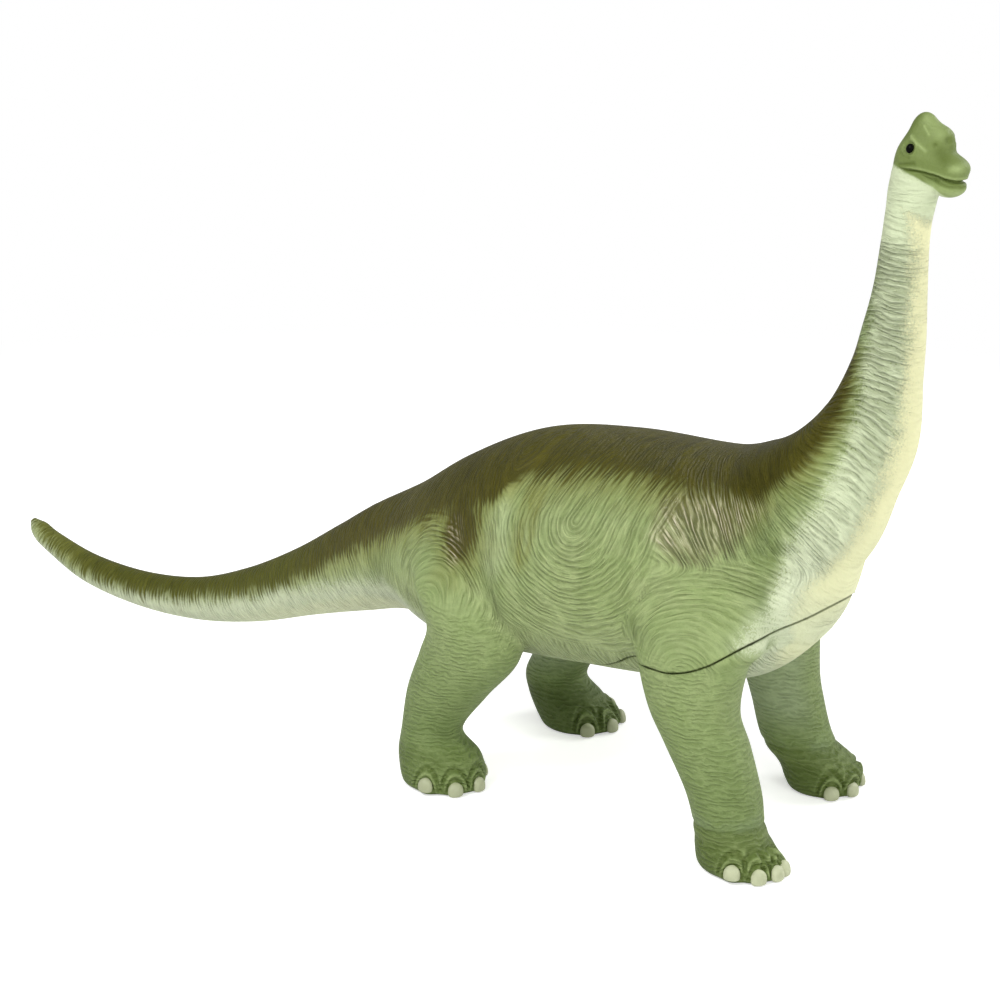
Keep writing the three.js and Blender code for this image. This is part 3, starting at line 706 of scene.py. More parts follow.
def skin_numbers(points):
    """Every number that the materials read, one row per point."""
    (along, across, up, back_share, depth), trunk_gap = spine_place(points)
    limb, limb_gap = limb_place(points)
    limb_share = 1 / (1 + np.exp(np.clip((limb_gap - trunk_gap + 3) / 2.5, -30, 30)))
    pale, under_jaw = cream_depth(points, along, back_share, depth, limb_share)
    rings, ring_share = swirl(points, limb_share)
    fan = np.interp(along, *FAN.T) * (points[:, 0] - 215)
    dark = (back_share - np.interp(along, *DARK_EDGE.T)) * depth
    haunch = patch(points, 82, 116, 11, 13)
    # painted highlights: patches on the haunch and the shoulder where the fold ridges are painted
    # pale
    shine = np.maximum(ease(-3, 4, patch(points, 79, 110, 5, 10)),
                       ease(-4, 5, patch(points, 194, 136.5, 21, 9, 18)))
    return {
        "spine": np.stack((along + lean(points) + fan, across, up), 1),
        "limb": limb, "limb_share": limb_share, "swirl": rings, "swirl_share": ring_share,
        "dark": carve(dark, haunch, 6) - 30 * ease(302, 316, along),
        "pale": pale,
        "cream": np.interp(along, *CREAM_SHARE.T),
        "shoulder": ease(-5, 7, patch(points, 192, 137, 20, 17, -15)),
        "shine": shine,
        # a painted highlight down the hip ridge
        "light": ease(-4, 4, patch(points, 103, 117, 7, 16)),
        "olive": ease(-4, 4, patch(points, 118, 123, 6, 16)),
        "folded": fold_depth(points, along, under_jaw, limb_share),
        # painted shade and highlight: the face's strokes, and over the nails paler arches and darker
        # creases
        "face": face_light_and_shade(points) - nail_folds(points) * 0.8,
        # how deep the hollow between melted limbs is; the material paints shade there
        "hollow": np.minimum(limb_gap, trunk_gap) - skin_gap(points),
        "seam": shell_side(points)}


# %% [markdown]
# ## The seam
# The toy's skin comes out of its moulds as two shells: the upper one with head, tail and hind
# legs, and the lower one with chest and fore legs. They are glued edge to edge along one curve. A
# line painted on would look flat, so the net is really cut there: edges that cross the curve are
# split exactly on it, and the two halves become pieces of their own with real edges.

# %% The seam's curve and the cut
SEAM = np.array((
    (.148, -1.31), (.197, -1.11), (.283, -.99), (.427, -.93), (.571, -.83), (.632, -.71),
    (.682, -.57), (.747, -.5), (.805, -.48), (.854, -.4), (.903, -.24), (.945, -.13),
    (.977, -.03), (1.084, .27))) * (243.5, 50) + (0, 105.5)
SEAM_LINE = smooth_rows(SEAM, 600)


def above_seam(points):
    """How far a point is above the seam's curve, which is a height for every x, and which falls
    away behind the hind legs."""
    x = points[:, 0]
    height = np.interp(x, SEAM_LINE[:, 0], SEAM_LINE[:, 1])
    return points[:, 2] - height + 2 * np.maximum(SEAM_LINE[0, 0] - x, 0)


GAP = 0.28  # half the open line between the two edges


def shell_side(points):
    """Negative on the lower shell: below the curve, and clear of the hind legs."""
    hind = np.minimum(near(points, legs["hind_right"]), near(points, legs["hind_left"]))
    return carve(above_seam(points), 3 - hind, 6)


def at_side(level):
    """Edges that cross this level of shell_side() are split where they cross it."""
    def where(points, edges):
        side = shell_side(points) - level
        a, b = side[edges[:, 0]], side[edges[:, 1]]
        cross = a * b < 0
        return np.where(cross, a / np.where(cross, a - b, 1), np.nan)
    return where


def point_normals(points, triangles):
    """The mean of the faces' normals round each point, larger faces counting more."""
    a, b, c = (points[triangles[:, k]] for k in range(3))
    face = np.cross(b - a, c - a)
    total = np.stack([sum(np.bincount(triangles[:, j], face[:, k], minlength=len(points))
                          for j in range(3)) for k in range(3)], 1)
    return total / (np.linalg.norm(total, axis=1)[:, None] + 1e-12)


def open_edges(points, triangles):
    """The two ends of every side that no second triangle shares."""
    a, b = sides_of(triangles).T
    lone = ~np.isin(a * len(points) + b, b * len(points) + a)
    return a[lone], b[lone]


def only(points, triangles, keep):
    """The kept triangles with the points they use, and those points' old numbers."""
    used, new = np.unique(triangles[keep], return_inverse=True)
    return points[used], new.reshape(-1, 3), used


skin, faces = split(skin, faces, at_side(GAP))
skin, faces = split(skin, faces, at_side(-GAP))
normals = point_normals(skin, faces)
side = shell_side(skin)
middle = side[faces].mean(1)
print("cut: upper", (middle > GAP).sum(), "lower", (middle < -GAP).sum(), "triangles")

# %% Shaping the two edges
# the upper shell's edge stands a little proud and turns in at its rim; the lower one sinks a
# little, so the line between them catches a real shadow.
proud = np.where(side > 0, 0.3 * np.exp(-np.maximum(side - GAP, 0) / 3.0),
                 -0.3 * np.exp(np.minimum(side + GAP, 0) / 1.6))
rim = np.abs(np.abs(side) - GAP) < 1e-3
skin = skin + normals * np.where(rim, proud - 0.35, proud)[:, None]
upper, upper_faces, _ = only(skin, faces, middle > GAP)
lower, lower_faces, kept = only(skin, faces, middle < -GAP)
lower_normals = normals[kept]


# %% The hidden lip that the lower shell is glued by
def seam_lip(points, triangles, normals, depth=2.0, wall=1.1, rise=5.0, foot=3.0):
    """A strip with a four-cornered profile, carried along the open edge: each corner is the edge
    moved inwards along the normal and up across the seam."""
    used, both = np.unique(open_edges(points, triangles), return_inverse=True)
    a, b = both.reshape(2, -1)
    base, inwards = points[used], -normals[used]
    _, climb = slope(shell_side, base, 0.5)
    climb -= (climb * inwards).sum(1)[:, None] * inwards
    climb /= np.linalg.norm(climb, axis=1)[:, None] + 1e-9
    corners = [base + inwards * d + climb * h for d, h in
               ((depth, -foot), (depth, rise), (depth + wall, rise), (depth + wall, -foot))]
    n = len(used)
    strip = []
    for k in range(4):
        p, q = k * n, (k + 1) % 4 * n
        strip += [np.stack((a + p, b + p, b + q), 1), np.stack((a + p, b + q, a + q), 1)]
    return np.vstack(corners), np.vstack(strip)


lip, lip_faces = seam_lip(lower, lower_faces, lower_normals)
print("lip:", len(lip), "points")

# %% Meshes from arrays
def mesh_piece(name, points, triangles, numbers=None):
    """A smooth Blender mesh from points in mm and triangles, its numbers kept as attributes. The
    toy is one body, root, so every piece rides on it."""
    mesh = bpy.data.meshes.new(name)
    mesh.vertices.add(len(points))
    mesh.vertices.foreach_set("co", ((points + ORIGIN) * 0.001).astype(np.float32).ravel())
    mesh.loops.add(triangles.size)
    mesh.loops.foreach_set("vertex_index", triangles.astype(np.int32).ravel())
    mesh.polygons.add(len(triangles))
    mesh.polygons.foreach_set("loop_start", np.arange(0, triangles.size, 3, dtype=np.int32))
    mesh.update(calc_edges=True)
    mesh.validate()
    mesh.polygons.foreach_set("use_smooth", np.ones(len(mesh.polygons), bool))
    for key, value in (numbers or {}).items():
        kind, field = ("FLOAT_VECTOR", "vector") if value.ndim == 2 else ("FLOAT", "value")
        layer = mesh.attributes.new(key, kind, "POINT")
        layer.data.foreach_set(field, value.astype(np.float32).ravel())
    piece = bpy.data.objects.new(name, mesh)
    bpy.context.collection.objects.link(piece)
    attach(piece, "root")
    return piece


def shell_wall(points, triangles, thick):
    """The skin's inner face and its rim: the same net moved inwards, turned round, and joined to
    the outer one along the open edge."""
    inner = points - point_normals(points, triangles) * thick
    size = len(points)
    a, b = open_edges(points, triangles)
    return np.vstack((points, inner)), np.vstack((
        triangles, triangles[:, ::-1] + size,
        np.stack((b, a, a + size), 1), np.stack((b, a + size, b + size), 1)))


def join(*parts):
    """Several nets as one."""
    shift = np.cumsum([0] + [len(p) for p, _ in parts[:-1]])
    return np.vstack([p for p, _ in parts]), np.vstack([f + s for (_, f), s in zip(parts, shift)])


WALL = 1.5
upper_net = shell_wall(upper, upper_faces, WALL)
lower_net = join(shell_wall(lower, lower_faces, WALL), (lip, lip_faces))
upper_skin = mesh_piece("upper_shell", *upper_net, skin_numbers(upper_net[0]))
lower_skin = mesh_piece("lower_shell", *lower_net, skin_numbers(lower_net[0]))
sides = ("right", "left")
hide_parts("torso_skin", "neck_skin", "head_skin", "tail_skin",
            *[f"hind_leg_{s}_skin" for s in sides])
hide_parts("belly_skin", *[f"fore_leg_{s}_skin" for s in sides])
for shell in (upper_skin, lower_skin):
    print(shell.name, len(shell.data.polygons), "triangles")

# %% [markdown]
# ## The stuffing
# Fibre is packed inside until the skin is firm. Nothing of it shows but a dark line's depth in the
# seam. It is one soft body a few millimetres inside the skin, so the same distance gives it: the
# net is drawn where the distance is minus the skin and a little air.

# %% Stuffing
def stuffing_gap(points):
    """The skin's distance moved inwards by 4.2 mm, and by 7.2 mm in the feet."""
    return skin_gap(points) + 4.2 + 3 * ease(24, 12, points[:, 2])


stuffing, stuffing_faces = surface_net(stuffing_gap, LOW, HIGH, 3.6)
stuffing = settle(stuffing_gap, stuffing, stuffing_faces, 2)
filling = mesh_piece("fibre_stuffing", stuffing, stuffing_faces)
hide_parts("torso_filling", "neck_and_head_filling", "tail_filling",
            *[f"{pair}_leg_{s}_filling" for pair in ("fore", "hind") for s in sides])
print("stuffing:", len(stuffing_faces), "triangles")

# %% [markdown]
# ## Nails
# Each toe ends in a thick, rounded nail, cast in the skin and picked out in cream. Its front is
# an arch, and it bulges forward near the floor. A profile of half widths is carried upwards and
# closed at both ends, then set on the foot where the toe's angle meets the foot's ellipse.

# %% Nails
NAIL_SIZE = (6.7, 6.1, 4.2)  # width, height and thickness
NAIL_ROWS = np.array((  # height, width, thickness and how far forward, as shares
    (0, .02, .02, .02), (.012, .5, .5, .03), (.04, .78, .82, .05), (.12, .93, .96, .06),
    (.3, 1, 1, .05), (.52, .98, .95, .03), (.7, .88, .84, .0), (.84, .68, .68, -.04),
    (.94, .42, .46, -.09), (.985, .2, .24, -.12), (1, .02, .02, -.13)))


def nail_surface(base, outward, wide, tall, thick):
    """Rings of half ellipses stacked from the floor up, each as wide and thick as its row says,
    and moved outwards by the row's last share of the thickness."""
    rows = smooth_rows(NAIL_ROWS, 28)
    turn = np.linspace(0, 2 * np.pi, 36, endpoint=False)
    out = np.array((outward[0], outward[1], 0.0))
    right = np.array((outward[1], -outward[0], 0.0))
    u = np.cos(turn) * wide / 2 * np.maximum(rows[:, 1:2], 0.01)
    v = np.sin(turn) * thick / 2 * np.maximum(rows[:, 2:3], 0.01) + thick * rows[:, 3:4]
    points = (np.asarray(base) + u[..., None] * right + v[..., None] * out
              + (rows[:, :1] * tall)[..., None] * np.array((0, 0, 1.0)))
    return tube_net(points)


def tube_net(points):
    """A closed net from rings of points, with a point in the middle of each end."""
    rings, count = points.shape[:2]
    ids = np.arange(rings * count).reshape(rings, count)
    a, b = ids[:-1], ids[1:]
    c, d = np.roll(b, -1, 1), np.roll(a, -1, 1)
    quads = np.stack((a, d, c, b), -1).reshape(-1, 4)
    first, last = rings * count, rings * count + 1
    net = np.vstack((points.reshape(-1, 3), points[0].mean(0), points[-1].mean(0)))
    caps = (np.stack((np.full(count, first), np.roll(ids[0], -1), ids[0]), 1),
            np.stack((np.full(count, last), ids[-1], np.roll(ids[-1], -1)), 1))
    return net, np.vstack((quads[:, (0, 1, 2)], quads[:, (0, 2, 3)]) + caps)


nails = []
for name in legs:
    foot, tips = toes(name)
    for number, tip in enumerate(tips, 1):
        out = tip / np.hypot(*tip)
        base = (*(foot[:2] + tip + 0.5 * out), 1.8 if number == 1 else 0.35)
        nail = mesh_piece(f"nail_{name}_{number}", *nail_surface(base, out, *NAIL_SIZE))
        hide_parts(f"claw_{name}_{number}")
        nails.append(nail)
print(len(nails), "nails")

# %% [markdown]
# ## Eyes
# Two small black domes sit in the skin below the brow. A dome is a circle carried up a
# quarter turn; the solid's box says where it sits, and the head's ellipse says which way it faces.

# %% Eyes
def dome(centre, outward, upward, wide, tall, proud):
    """An ellipsoid: circles from pole to pole, their axis pointing out of the skin."""
    polar = np.linspace(0.001, np.pi - 0.001, 24)
    turn = np.linspace(0, 2 * np.pi, 40, endpoint=False)
    right = np.cross(upward, outward)
    u = np.sin(polar)[:, None] * np.cos(turn) * wide / 2
    v = np.sin(polar)[:, None] * np.sin(turn) * tall / 2
    w = np.cos(polar)[:, None] * proud + 0 * u
    points = (centre + u[..., None] * right + v[..., None] * upward + w[..., None] * outward)
    return tube_net(points[::-1])


eyes = []
for which_side in sides:
    low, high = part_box(f"eye_{which_side}")
    centre = (np.array(low) + np.array(high)) / 2 * 1000 - ORIGIN
    value, out = slope(skin_gap, centre[None], 0.5)
    out = out[0] / np.linalg.norm(out[0])
    up_way = np.array((0, 0, 1.0)) - out[2] * out
    up_way /= np.linalg.norm(up_way)
    centre = centre - value[0] * out
    eye = mesh_piece(f"eye_{which_side}_dome", *dome(centre, out, up_way, 3.1, 3.6, 1.0))
    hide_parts(f"eye_{which_side}")
    eyes.append(eye)
print("eyes at", [round(float(v), 1) for v in centre])

# %% [markdown]
# ## Finishes as short sums
# A finish is a web of small nodes. Wiring them one by one hides the thought, so a socket is
# wrapped in a class with the usual signs: mask * 2 + 1 then adds its own Math nodes, and
# 1 - mask works as it reads. A Math node would turn a colour grey, so colours go through Mix nodes.

# %% Sockets with arithmetic
class Wire:
    """One output socket in a web; +, -, * and / on it add Math nodes."""

    def __init__(self, web, socket):
        self.web, self.socket = web, socket

    def sum(self, kind, *values):
        """A Math node of this kind on these values."""
        return self.web.node("ShaderNodeMath", {"operation": kind}, dict(enumerate(values)))

    def __add__(self, other):
        return self.sum("ADD", self, other)

    def __sub__(self, other):
        return self.sum("SUBTRACT", self, other)

    def __rsub__(self, other):
        return self.sum("SUBTRACT", other, self)

    def __mul__(self, other):
        return self.sum("MULTIPLY", self, other)

    def __truediv__(self, other):
        return self.sum("DIVIDE", self, other)

    def __rtruediv__(self, other):
        return self.sum("DIVIDE", other, self)

    __radd__, __rmul__ = __add__, __mul__

    def __abs__(self):
        return self.sum("ABSOLUTE", self)

    def sine(self):
        return self.sum("SINE", self)

    def clip(self):
        """Held between 0 and 1."""
        return self.web.node("ShaderNodeClamp", {}, {0: self})

    def ease(self, low, high):
        """0 at low, 1 at high, a smooth S between; low may be the greater one."""
        return self.web.node("ShaderNodeMapRange", {"interpolation_type": "SMOOTHSTEP"},
                             {0: self, 1: low, 2: high, 3: 0.0, 4: 1.0})

    def part(self, axis):
        """One of a vector's three numbers."""
        return self.web.node("ShaderNodeSeparateXYZ", {}, {0: self}, axis)


def shade(red, green, blue):
    """A screen colour of 0 to 255 as the linear colour that Blender mixes in."""
    c = np.array((red, green, blue)) / 255
    linear = np.where(c > 0.04045, ((c + 0.055) / 1.055) ** 2.4, c / 12.92)
    return (*linear.tolist(), 1.0)


# %% A web of nodes, and a material that is written as sums
class Web:
    """The nodes of a material or of the world; node() adds one of any type."""

    def __init__(self, owner):
        owner.use_nodes = True
        self.tree = owner.node_tree

    def node(self, kind, settings, sockets, out=0):
        """A node of this type: its settings, then each of its sockets as a value or a wire."""
        node = self.tree.nodes.new(kind)
        for key, value in settings.items():
            setattr(node, key, value)
        for key, value in sockets.items():
            if isinstance(value, Wire):
                self.tree.links.new(value.socket, node.inputs[key])
            else:
                node.inputs[key].default_value = value
        return Wire(self, node.outputs[out])


class Finish(Web):
    """A material being written: constants are set on its shader, and link() feeds the rest."""

    def __init__(self, name, **constants):
        self.material = bpy.data.materials.new(name)
        super().__init__(self.material)
        self.shader = self.tree.nodes["Principled BSDF"]
        for key, value in constants.items():
            self.shader.inputs[key.replace("_", " ")].default_value = value
        self.place = self.node("ShaderNodeTexCoord", {}, {}, 3)

    def link(self, wire, name):
        self.tree.links.new(wire.socket, self.shader.inputs[name])

    def kept(self, name, out=2):
        """A number (out=2) or a vector (out=1) kept on the mesh under this name."""
        return self.node("ShaderNodeAttribute", {"attribute_name": name}, {}, out)

    def noise(self, vector, detail=2.0, rough=0.5, warp=0.0, scale=1.0):
        """Soft noise from 0 to 1, about 0.5, with scale lumps for each unit of the vector."""
        return self.node("ShaderNodeTexNoise", {},
                         {0: vector, 2: scale, 3: detail, 4: rough, 8: warp})

    def drawn_out(self, vector, sizes, shift, *noise):
        """Noise of a vector divided by three lengths, so that it is drawn out along them."""
        mapped = self.node("ShaderNodeMapping", {"vector_type": "POINT"},
                           {0: vector, 1: (shift,) * 3, 3: tuple(1 / s for s in sizes)})
        return self.noise(mapped, *noise)

    def blend(self, share, one, two):
        """Two colours mixed by a share from 0 to 1."""
        return self.node("ShaderNodeMix", {"data_type": "RGBA"}, {0: share, 6: one, 7: two}, 2)

    def coats(self, colour, *sprays):
        """Sprays laid over a colour one after the other, each with its share and its paint."""
        for share, paint in sprays:
            colour = self.blend(share, colour, paint if isinstance(paint, Wire) else shade(*paint))
        return colour

    def bump(self, height, strength, distance):
        """Tilts the normal as if a height of 1 stood this many metres proud."""
        wire = self.node("ShaderNodeBump", {},
                         {"Strength": strength, "Distance": distance, "Height": height})
        self.link(wire, "Normal")
        return wire

    def mixed(self, share, other):
        """Another shader mixed over the first by a share."""
        first = Wire(self, self.shader.outputs[0])
        both = self.node("ShaderNodeMixShader", {}, {0: share, 1: first, 2: other})
        self.tree.links.new(both.socket, self.tree.nodes["Material Output"].inputs[0])


# %% [markdown]
# ## Folds in the vinyl
# Fine folds cover the whole skin. They are far too many to model, so the material raises them with
# a bump. A sine wave squared gives round ridges and narrow grooves. A soft noise drawn out along
# the folds pushes the wave about, so that they wander, part and meet. The wave runs across the
# spine on the trunk, down the limb on a leg, and outwards from the middle of each swirl.

# %% Folds
def folds(f, vector, pitch, run, shift):
    """Waves across the first number, one for each pitch mm, pushed about and fading in and out by
    soft noises that are up to run mm long, and finer wrinkles between them."""
    push = f.drawn_out(vector, (pitch * 3, run, run), shift, 2, 0.5)
    wave = ((vector.part(0) / pitch + push * 3.0) * np.pi).sine()
    deep = f.drawn_out(vector, (pitch * 2.2, run * 0.6, run * 0.6), shift + 9, 2, 0.6)
    fine = f.drawn_out(vector, (pitch * 0.4, run * 0.4, run * 0.4), shift, 2, 0.5, 0.2)
    wave = 1 - (1 - wave * wave) * ((deep - 0.3) * 4).clip()
    return wave * 0.72 + (abs(fine - 0.5) / 0.16).clip() * 0.28


def relief(f, spine):
    """The height of the folds, from 0 in a groove to 1 on a ridge."""
    limb_share, ring_share = f.kept("limb_share"), f.kept("swirl_share")
    height = (folds(f, spine, 2.1, 17, 3.0) * (1 - limb_share)
              + folds(f, f.kept("limb", 1), 2.0, 8, 11.0) * limb_share)
    height = (height * (1 - ring_share)
              + folds(f, f.kept("swirl", 1), 2.15, 20, 7.0) * ring_share)
    return 1 - (1 - height) * f.kept("folded")


# %% [markdown]
# ## Sprayed vinyl
# The vinyl is cast in a mid green and sprayed: dark olive along the back, brown streaks on the
# shoulder, cream on throat and chest, and a mist of pale mint drops between. The pale streaks on
# the haunch and the shoulder are painted highlights. A spray has no hard edge. So each paint is
# laid over the last by a share, which a smooth step makes from the depth in mm that the mesh keeps,
# made uneven by noise. The grooves are painted darker, as painted shade with some gathered paint.

# %% The green
def green_paint_and_shading(f, height, groove, cloud, drops):
    """The cast green, darker on legs and feet, with painted light low on the flanks and on the inner
    legs, painted shade on the far hind foot, in hollows and in grooves (with some gathered paint
    there), painted highlights on the hip and the fold ridges, and the painted light and shade strokes
    of the face and the nails. Lengths are in metres, colours as the screen shows them."""
    limb_share, face = f.kept("limb_share"), f.kept("face")
    forward, side, up = (f.place.part(k) for k in range(3))
    foot = up.ease(0.024, 0.014) * limb_share
    near_ankle = up.ease(0.017, 0.02) * up.ease(0.027, 0.021) * forward.ease(0.14, 0.16)
    # painted light on the inner sides of the legs, lifting the far legs' shade
    inner_leg_light = abs(side).ease(0.045, 0.033) * limb_share * up.ease(0.02, 0.04)
    # painted highlight on the tops of the folds
    ridge = height.ease(0.7, 1.0) * (1 - limb_share * 0.5) * f.kept("folded").ease(0.1, 0.8)
    cast = f.blend((cloud * 2 + 0.5).clip(), shade(150, 170, 108), shade(166, 180, 126))
    return f.coats(
        cast,
        # painted light low on the flanks, lifting the shade under the belly
        (up.ease(0.105, 0.07) * (1 - limb_share) * 0.9, (178, 192, 138)),  # low on the flanks
        ((drops - 0.58).ease(0, 0.08) * 0.16, (200, 210, 160)),  # pale specks
        ((0.42 - drops).ease(0, 0.08) * 0.16, (104, 118, 58)),  # dark specks
        (limb_share * 0.3, (118, 138, 84)),
        ((1 - up.ease(0.015, 0.1)) * limb_share * 0.8, (104, 124, 70)),  # down each leg
        (foot * (forward.ease(0.14, 0.16) * 0.35 + 0.6), (84, 102, 46)),
        # painted shade on the far hind foot
        (foot * side.ease(0.01, 0.03) * forward.ease(0.16, 0.14) * 0.5, (60, 76, 34)),  # far hind
        (near_ankle * (cloud * 6 + 0.3).clip() * 0.2, (150, 168, 140)),
        # painted light on the inner legs
        (inner_leg_light * 0.35, (176, 188, 164)),
        # painted highlight on the hip
        (f.kept("light") * 0.6, (184, 200, 150)),
        # painted shade in the hollows where limbs meet
        (f.kept("hollow").ease(0.1, 1.6) * 0.3, (96, 116, 60)),
        (up.ease(0.262, 0.27), (112, 128, 70)),  # the head
        # painted shade where face is above 0, painted highlight where it is below 0, on the face and
        # over the nails
        (face.clip() * 0.7, (82, 98, 34)),
        ((face * -1).clip() * 0.7, (168, 186, 124)),
        # painted shade in the grooves, with some darker paint gathered there
        (groove * 0.52, (86, 100, 38)),
        # painted highlight on the fold ridges
        (ridge * 0.3, (186, 196, 136)))


# %% The sprays over it
def vinyl():
    """The skin's finish: from the cast green up to the last glint, and the folds' relief."""
    f = Finish("sprayed_vinyl_and_painted_light", IOR=1.5, Specular_IOR_Level=0.22)
    spine = f.kept("spine", 1)
    height = relief(f, spine)
    groove = (1 - height).clip()
    grain = f.noise(f.place, 3, 0.65, 0.0, 800)
    streak = f.drawn_out(spine, (3.0, 16, 16), 5.0, 2, 0.6, 0.3) - 0.5
    cloud = f.noise(f.place, 3, 0.6, 0.0, 60) - 0.5
    drops = f.noise(f.place, 2, 0.7, 0.0, 1250)
    dark, pale, shoulder = f.kept("dark"), f.kept("pale"), f.kept("shoulder")
    along, forward, up = spine.part(0), f.place.part(0), f.place.part(2)

    # where each spray lies
    on_neck = forward.ease(0.17, 0.205) * up.ease(0.1, 0.14)
    # painted light on the chest, lifting the shade where the neck meets the shoulder
    chest_light = forward.ease(0.155, 0.19) * up.ease(0.165, 0.13) * up.ease(0.09, 0.115)
    uneven = (streak * 5 + cloud * 5 + (groove - 0.45) * 6) * (1 - on_neck * 0.55)
    dark_share = (dark + uneven).ease(-4.2, 3.6)
    mist = (pale + cloud * 8 + on_neck * 7).ease(-14, 1)
    cream_share = (pale + cloud * 6 + (drops - 0.5) * 8).ease(0.5, 6.5) * f.kept("cream")
    drop_share = (drops - 0.72 + mist * 0.42).ease(0.0, 0.07) * mist
    streaks = streak * 1.5 + (groove - 0.5) * 1.1 - 0.2
    brown = (shoulder * 1.3 + streaks).clip() * (shoulder * 2).clip() * (1 - dark_share)
    olive_haze = ((dark + cloud * 12 + streak * 6).ease(-16, 2)
                  + f.kept("olive") * (streak * 2 + 0.6)).clip() * (1 - mist)
    # glint: a painted highlight on the ridges inside the haunch and shoulder patches
    glint = (height.ease(0.55, 0.95) * f.kept("shine") * (streak * 2.5 + 0.75 + cloud)).clip()
    glint = glint * (1 - dark_share * forward.ease(0.08, 0.12))

    # the paints that are mixed from two
    # the mist: paler on the chest as painted light, darker in the grooves as painted shade
    mist_paint_and_shading = f.coats(shade(206, 218, 179), (chest_light, (232, 242, 202)),
                         (groove * (on_neck * 0.2 + 0.8), (124, 140, 86)))
    # the drops, paler on the chest: painted light
    drop_paint_and_light = f.blend(chest_light, shade(214, 222, 190), shade(232, 240, 208))
    # cream, a little darker in the grooves: painted shade
    cream = f.coats(shade(231, 230, 182), (groove * 0.1, (200, 202, 152)),
                    (up.ease(0.16, 0.09) * 0.5, (220, 224, 178)))
    brown_paint = f.blend(groove, shade(134, 126, 72), shade(58, 48, 8))
    olive = f.coats(shade(64, 62, 0), ((streak * 2 + 0.5).clip(), (84, 80, 10)),
                    (along.ease(-185, -225) * 0.62, (122, 124, 60)),
                    (along.ease(0, -60) * 0.4, (94, 102, 24)))

    colour = f.coats(
        green_paint_and_shading(f, height, groove, cloud, drops),
        (mist * 0.78, mist_paint_and_shading),
        (drop_share * (0.7 - on_neck * 0.25), drop_paint_and_light),
        (cream_share, cream),
        ((1 - abs(f.kept("seam")).ease(0.25, 0.8)) * 0.75, (74, 86, 34)),  # beside the seam
        (olive_haze * 0.6, (118, 118, 40)),
        (brown * 0.6, brown_paint),
        (dark_share, olive),
        # painted highlight
        (glint * 0.6, (226, 214, 186)))
    f.link(colour, "Base Color")
    f.link(0.5 + cream_share * 0.08 + cloud * 0.15, "Roughness")
    bump = f.bump(height * (1 - cream_share * 0.75) + grain * 0.3, 0.9, 0.0014)
    # the brown streaks have a little lacquer over them
    shiny = f.node("ShaderNodeBsdfGlossy", {}, {"Roughness": 0.2, "Normal": bump})
    f.mixed(brown * (0.02 + height.clip() * 0.06), shiny)
    return f.material


skin_finish = vinyl()
for shell in (upper_skin, lower_skin):
    shell.data.materials.append(skin_finish)
print("skin finish:", len(skin_finish.node_tree.nodes), "nodes")

# %% [markdown]
# ## Nails, eyes and stuffing
# The nails are a matt, slightly dirty cream, the hind ones darker. The eyes are near black. They
# would be glossy on a new toy, but in the photograph they only show as dark dots, so they get
# little shine. The stuffing is white fibre, with tufts from one noise.

# %% Nails, eyes and stuffing
def nail_finish():
    """Cream with soft dirty clouds, and a fine matt grain."""
    f = Finish("nail_vinyl", Roughness=0.5)
    dirt = f.noise(f.place, 2, 0.5, 0.0, 250)
    hind = f.place.part(0).ease(0.14, 0.1)
    f.link(f.coats(shade(164, 170, 134), ((dirt * 1.6 - 0.3).clip(), (192, 197, 162)),
                   (hind * 0.6, (158, 163, 130))), "Base Color")
    f.bump(f.noise(f.place, 3, 0.65, 0.2, 700), 0.5, 0.0005)
    return f.material


def eye_finish():
    """Near black, with a faint cloud so that it isn't one flat tone."""
    f = Finish("eye_gloss", Roughness=0.4, Specular_IOR_Level=0.05)
    cloud = f.noise(f.place, 2, 0.5, 0.0, 400)
    f.link(f.blend(cloud, shade(2, 3, 1), shade(9, 10, 5)), "Base Color")
    return f.material


def fibre_finish():
    """White tufts: one warped noise for the colour and the bump."""
    f = Finish("white_fibre", Roughness=0.95)
    tuft = f.noise(f.place, 4, 0.65, 1.5, 220)
    f.link(f.blend(tuft, shade(205, 202, 192), shade(240, 238, 230)), "Base Color")
    f.bump(tuft, 0.8, 0.002)
    return f.material


for pieces, finish in ((nails, nail_finish()), (eyes, eye_finish()), ([filling], fibre_finish())):
    for piece in pieces:
        piece.data.materials.append(finish)

# %% [markdown]
# ## Floor, light and camera
# The photograph is a cut-out on white, so the floor and the world show white to the camera. The
# light is a soft key lamp over the camera's left shoulder, two fill lamps and an even world, at a
# level where a colour comes out as it was mixed. The camera stands where the picture's own lines
# put it.

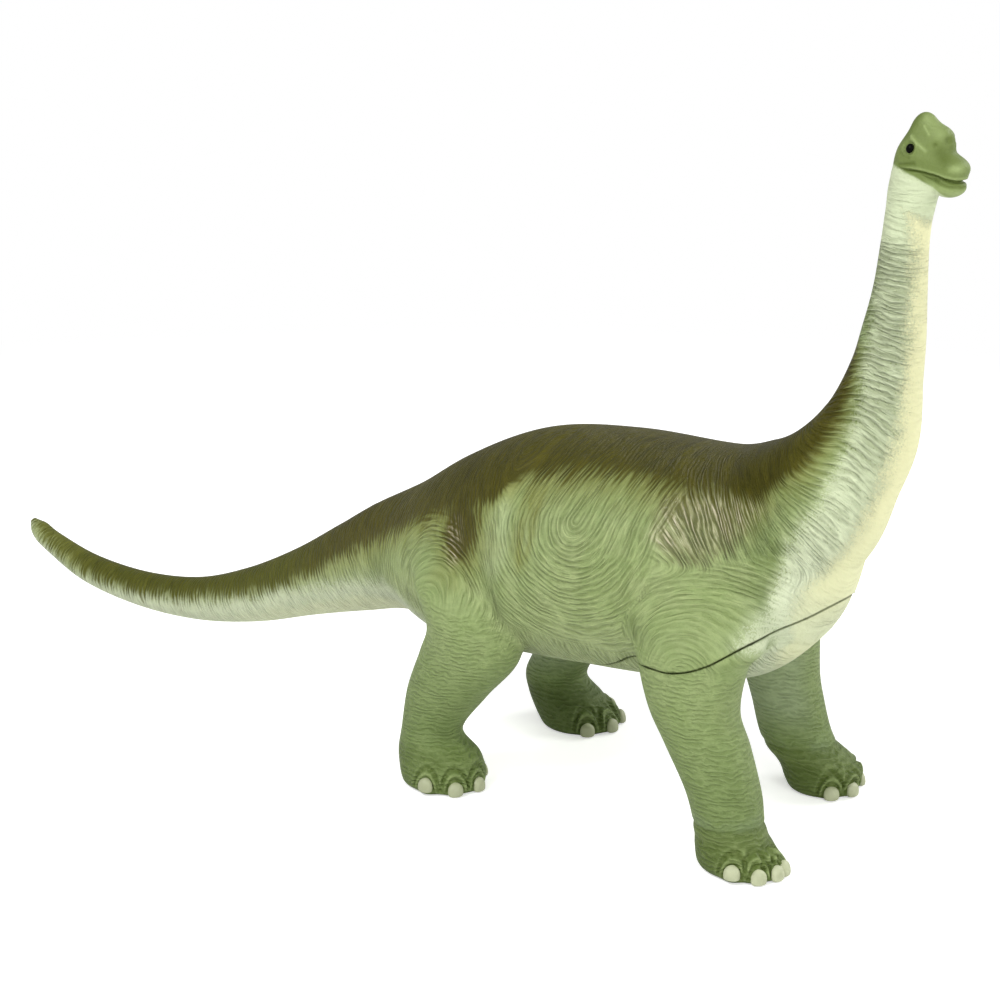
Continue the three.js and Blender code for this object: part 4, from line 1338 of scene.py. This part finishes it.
# %% Floor and world
def pale_floor(reach=2.2):
    """A square round the origin. Away from the toy the camera sees plain white, so that the
    floor's edge doesn't show."""
    mesh = bpy.data.meshes.new("floor")
    corners = [(reach * x, reach * y, 0) for x, y in ((-1, -1), (1, -1), (1, 1), (-1, 1))]
    mesh.from_pydata(corners, [], [(0, 1, 2, 3)])
    floor = bpy.data.objects.new("floor", mesh)
    bpy.context.collection.objects.link(floor)
    f = Finish("floor_white", Roughness=0.8, Base_Color=(0.9, 0.9, 0.9, 1),
               Emission_Color=(1, 1, 1, 1))
    seen = f.node("ShaderNodeLightPath", {}, {})  # 1 where the camera looks at it, otherwise 0
    f.link(seen * 0.5, "Emission Strength")
    away = f.node("ShaderNodeVectorMath", {"operation": "LENGTH"}, {0: f.place}, 1)
    f.mixed(away.ease(0.5, 0.9) * seen, f.node("ShaderNodeEmission", {}, {}))
    mesh.materials.append(f.material)


pale_floor()
ROOM_LIGHT = 0.42  # what the world gives to the object; the camera sees 1
world = bpy.data.worlds.new("white_room")
bpy.context.scene.world = world
room = Web(world)
level = room.node("ShaderNodeMapRange", {}, {0: room.node("ShaderNodeLightPath", {}, {}),
                                             3: ROOM_LIGHT, 4: 1.0})
sky = room.tree.nodes["Background"]
sky.inputs["Color"].default_value = (1, 1, 1, 1)
room.tree.links.new(level.socket, sky.inputs["Strength"])

# %% Lamps
def soft_lamp(name, place, aim, size, watts):
    """A square lamp that faces its aim."""
    data = bpy.data.lights.new(name, "AREA")
    data.size, data.energy = size, watts
    lamp = bpy.data.objects.new(name, data)
    bpy.context.collection.objects.link(lamp)
    lamp.location = place
    away = Vector(place) - Vector(aim)
    lamp.rotation_euler = away.to_track_quat("Z", "Y").to_euler()


soft_lamp("key_lamp", (-0.27, -1.4, 1.6), (0, 0, 0.12), 0.6, 24)
soft_lamp("front_lamp", (1.4, -0.8, 0.8), (0.05, 0, 0.12), 0.8, 10.5)
soft_lamp("far_lamp", (0.9, 1.5, 1.1), (0, 0, 0.12), 1.0, 19)

# %% Camera
AIM = np.array(((0.8069037, 0.5906831, 0), (-0.1628143, 0.2224128, 0.9612617),
                (0.5678010, -0.7756456, 0.2756374)))  # its right, its up and its back
camera_data = bpy.data.cameras.new("camera")
camera_data.lens, camera_data.sensor_width = 84.683, 36
camera = bpy.data.objects.new("camera", camera_data)
bpy.context.collection.objects.link(camera)
place = np.eye(4)
place[:3, :3] = AIM.T
place[:3, 3] = (0.6232828, -0.7926496, 0.3966421)
camera.matrix_world = Matrix(place.tolist())
bpy.context.scene.camera = camera
bpy.context.scene.view_settings.view_transform = "Standard"
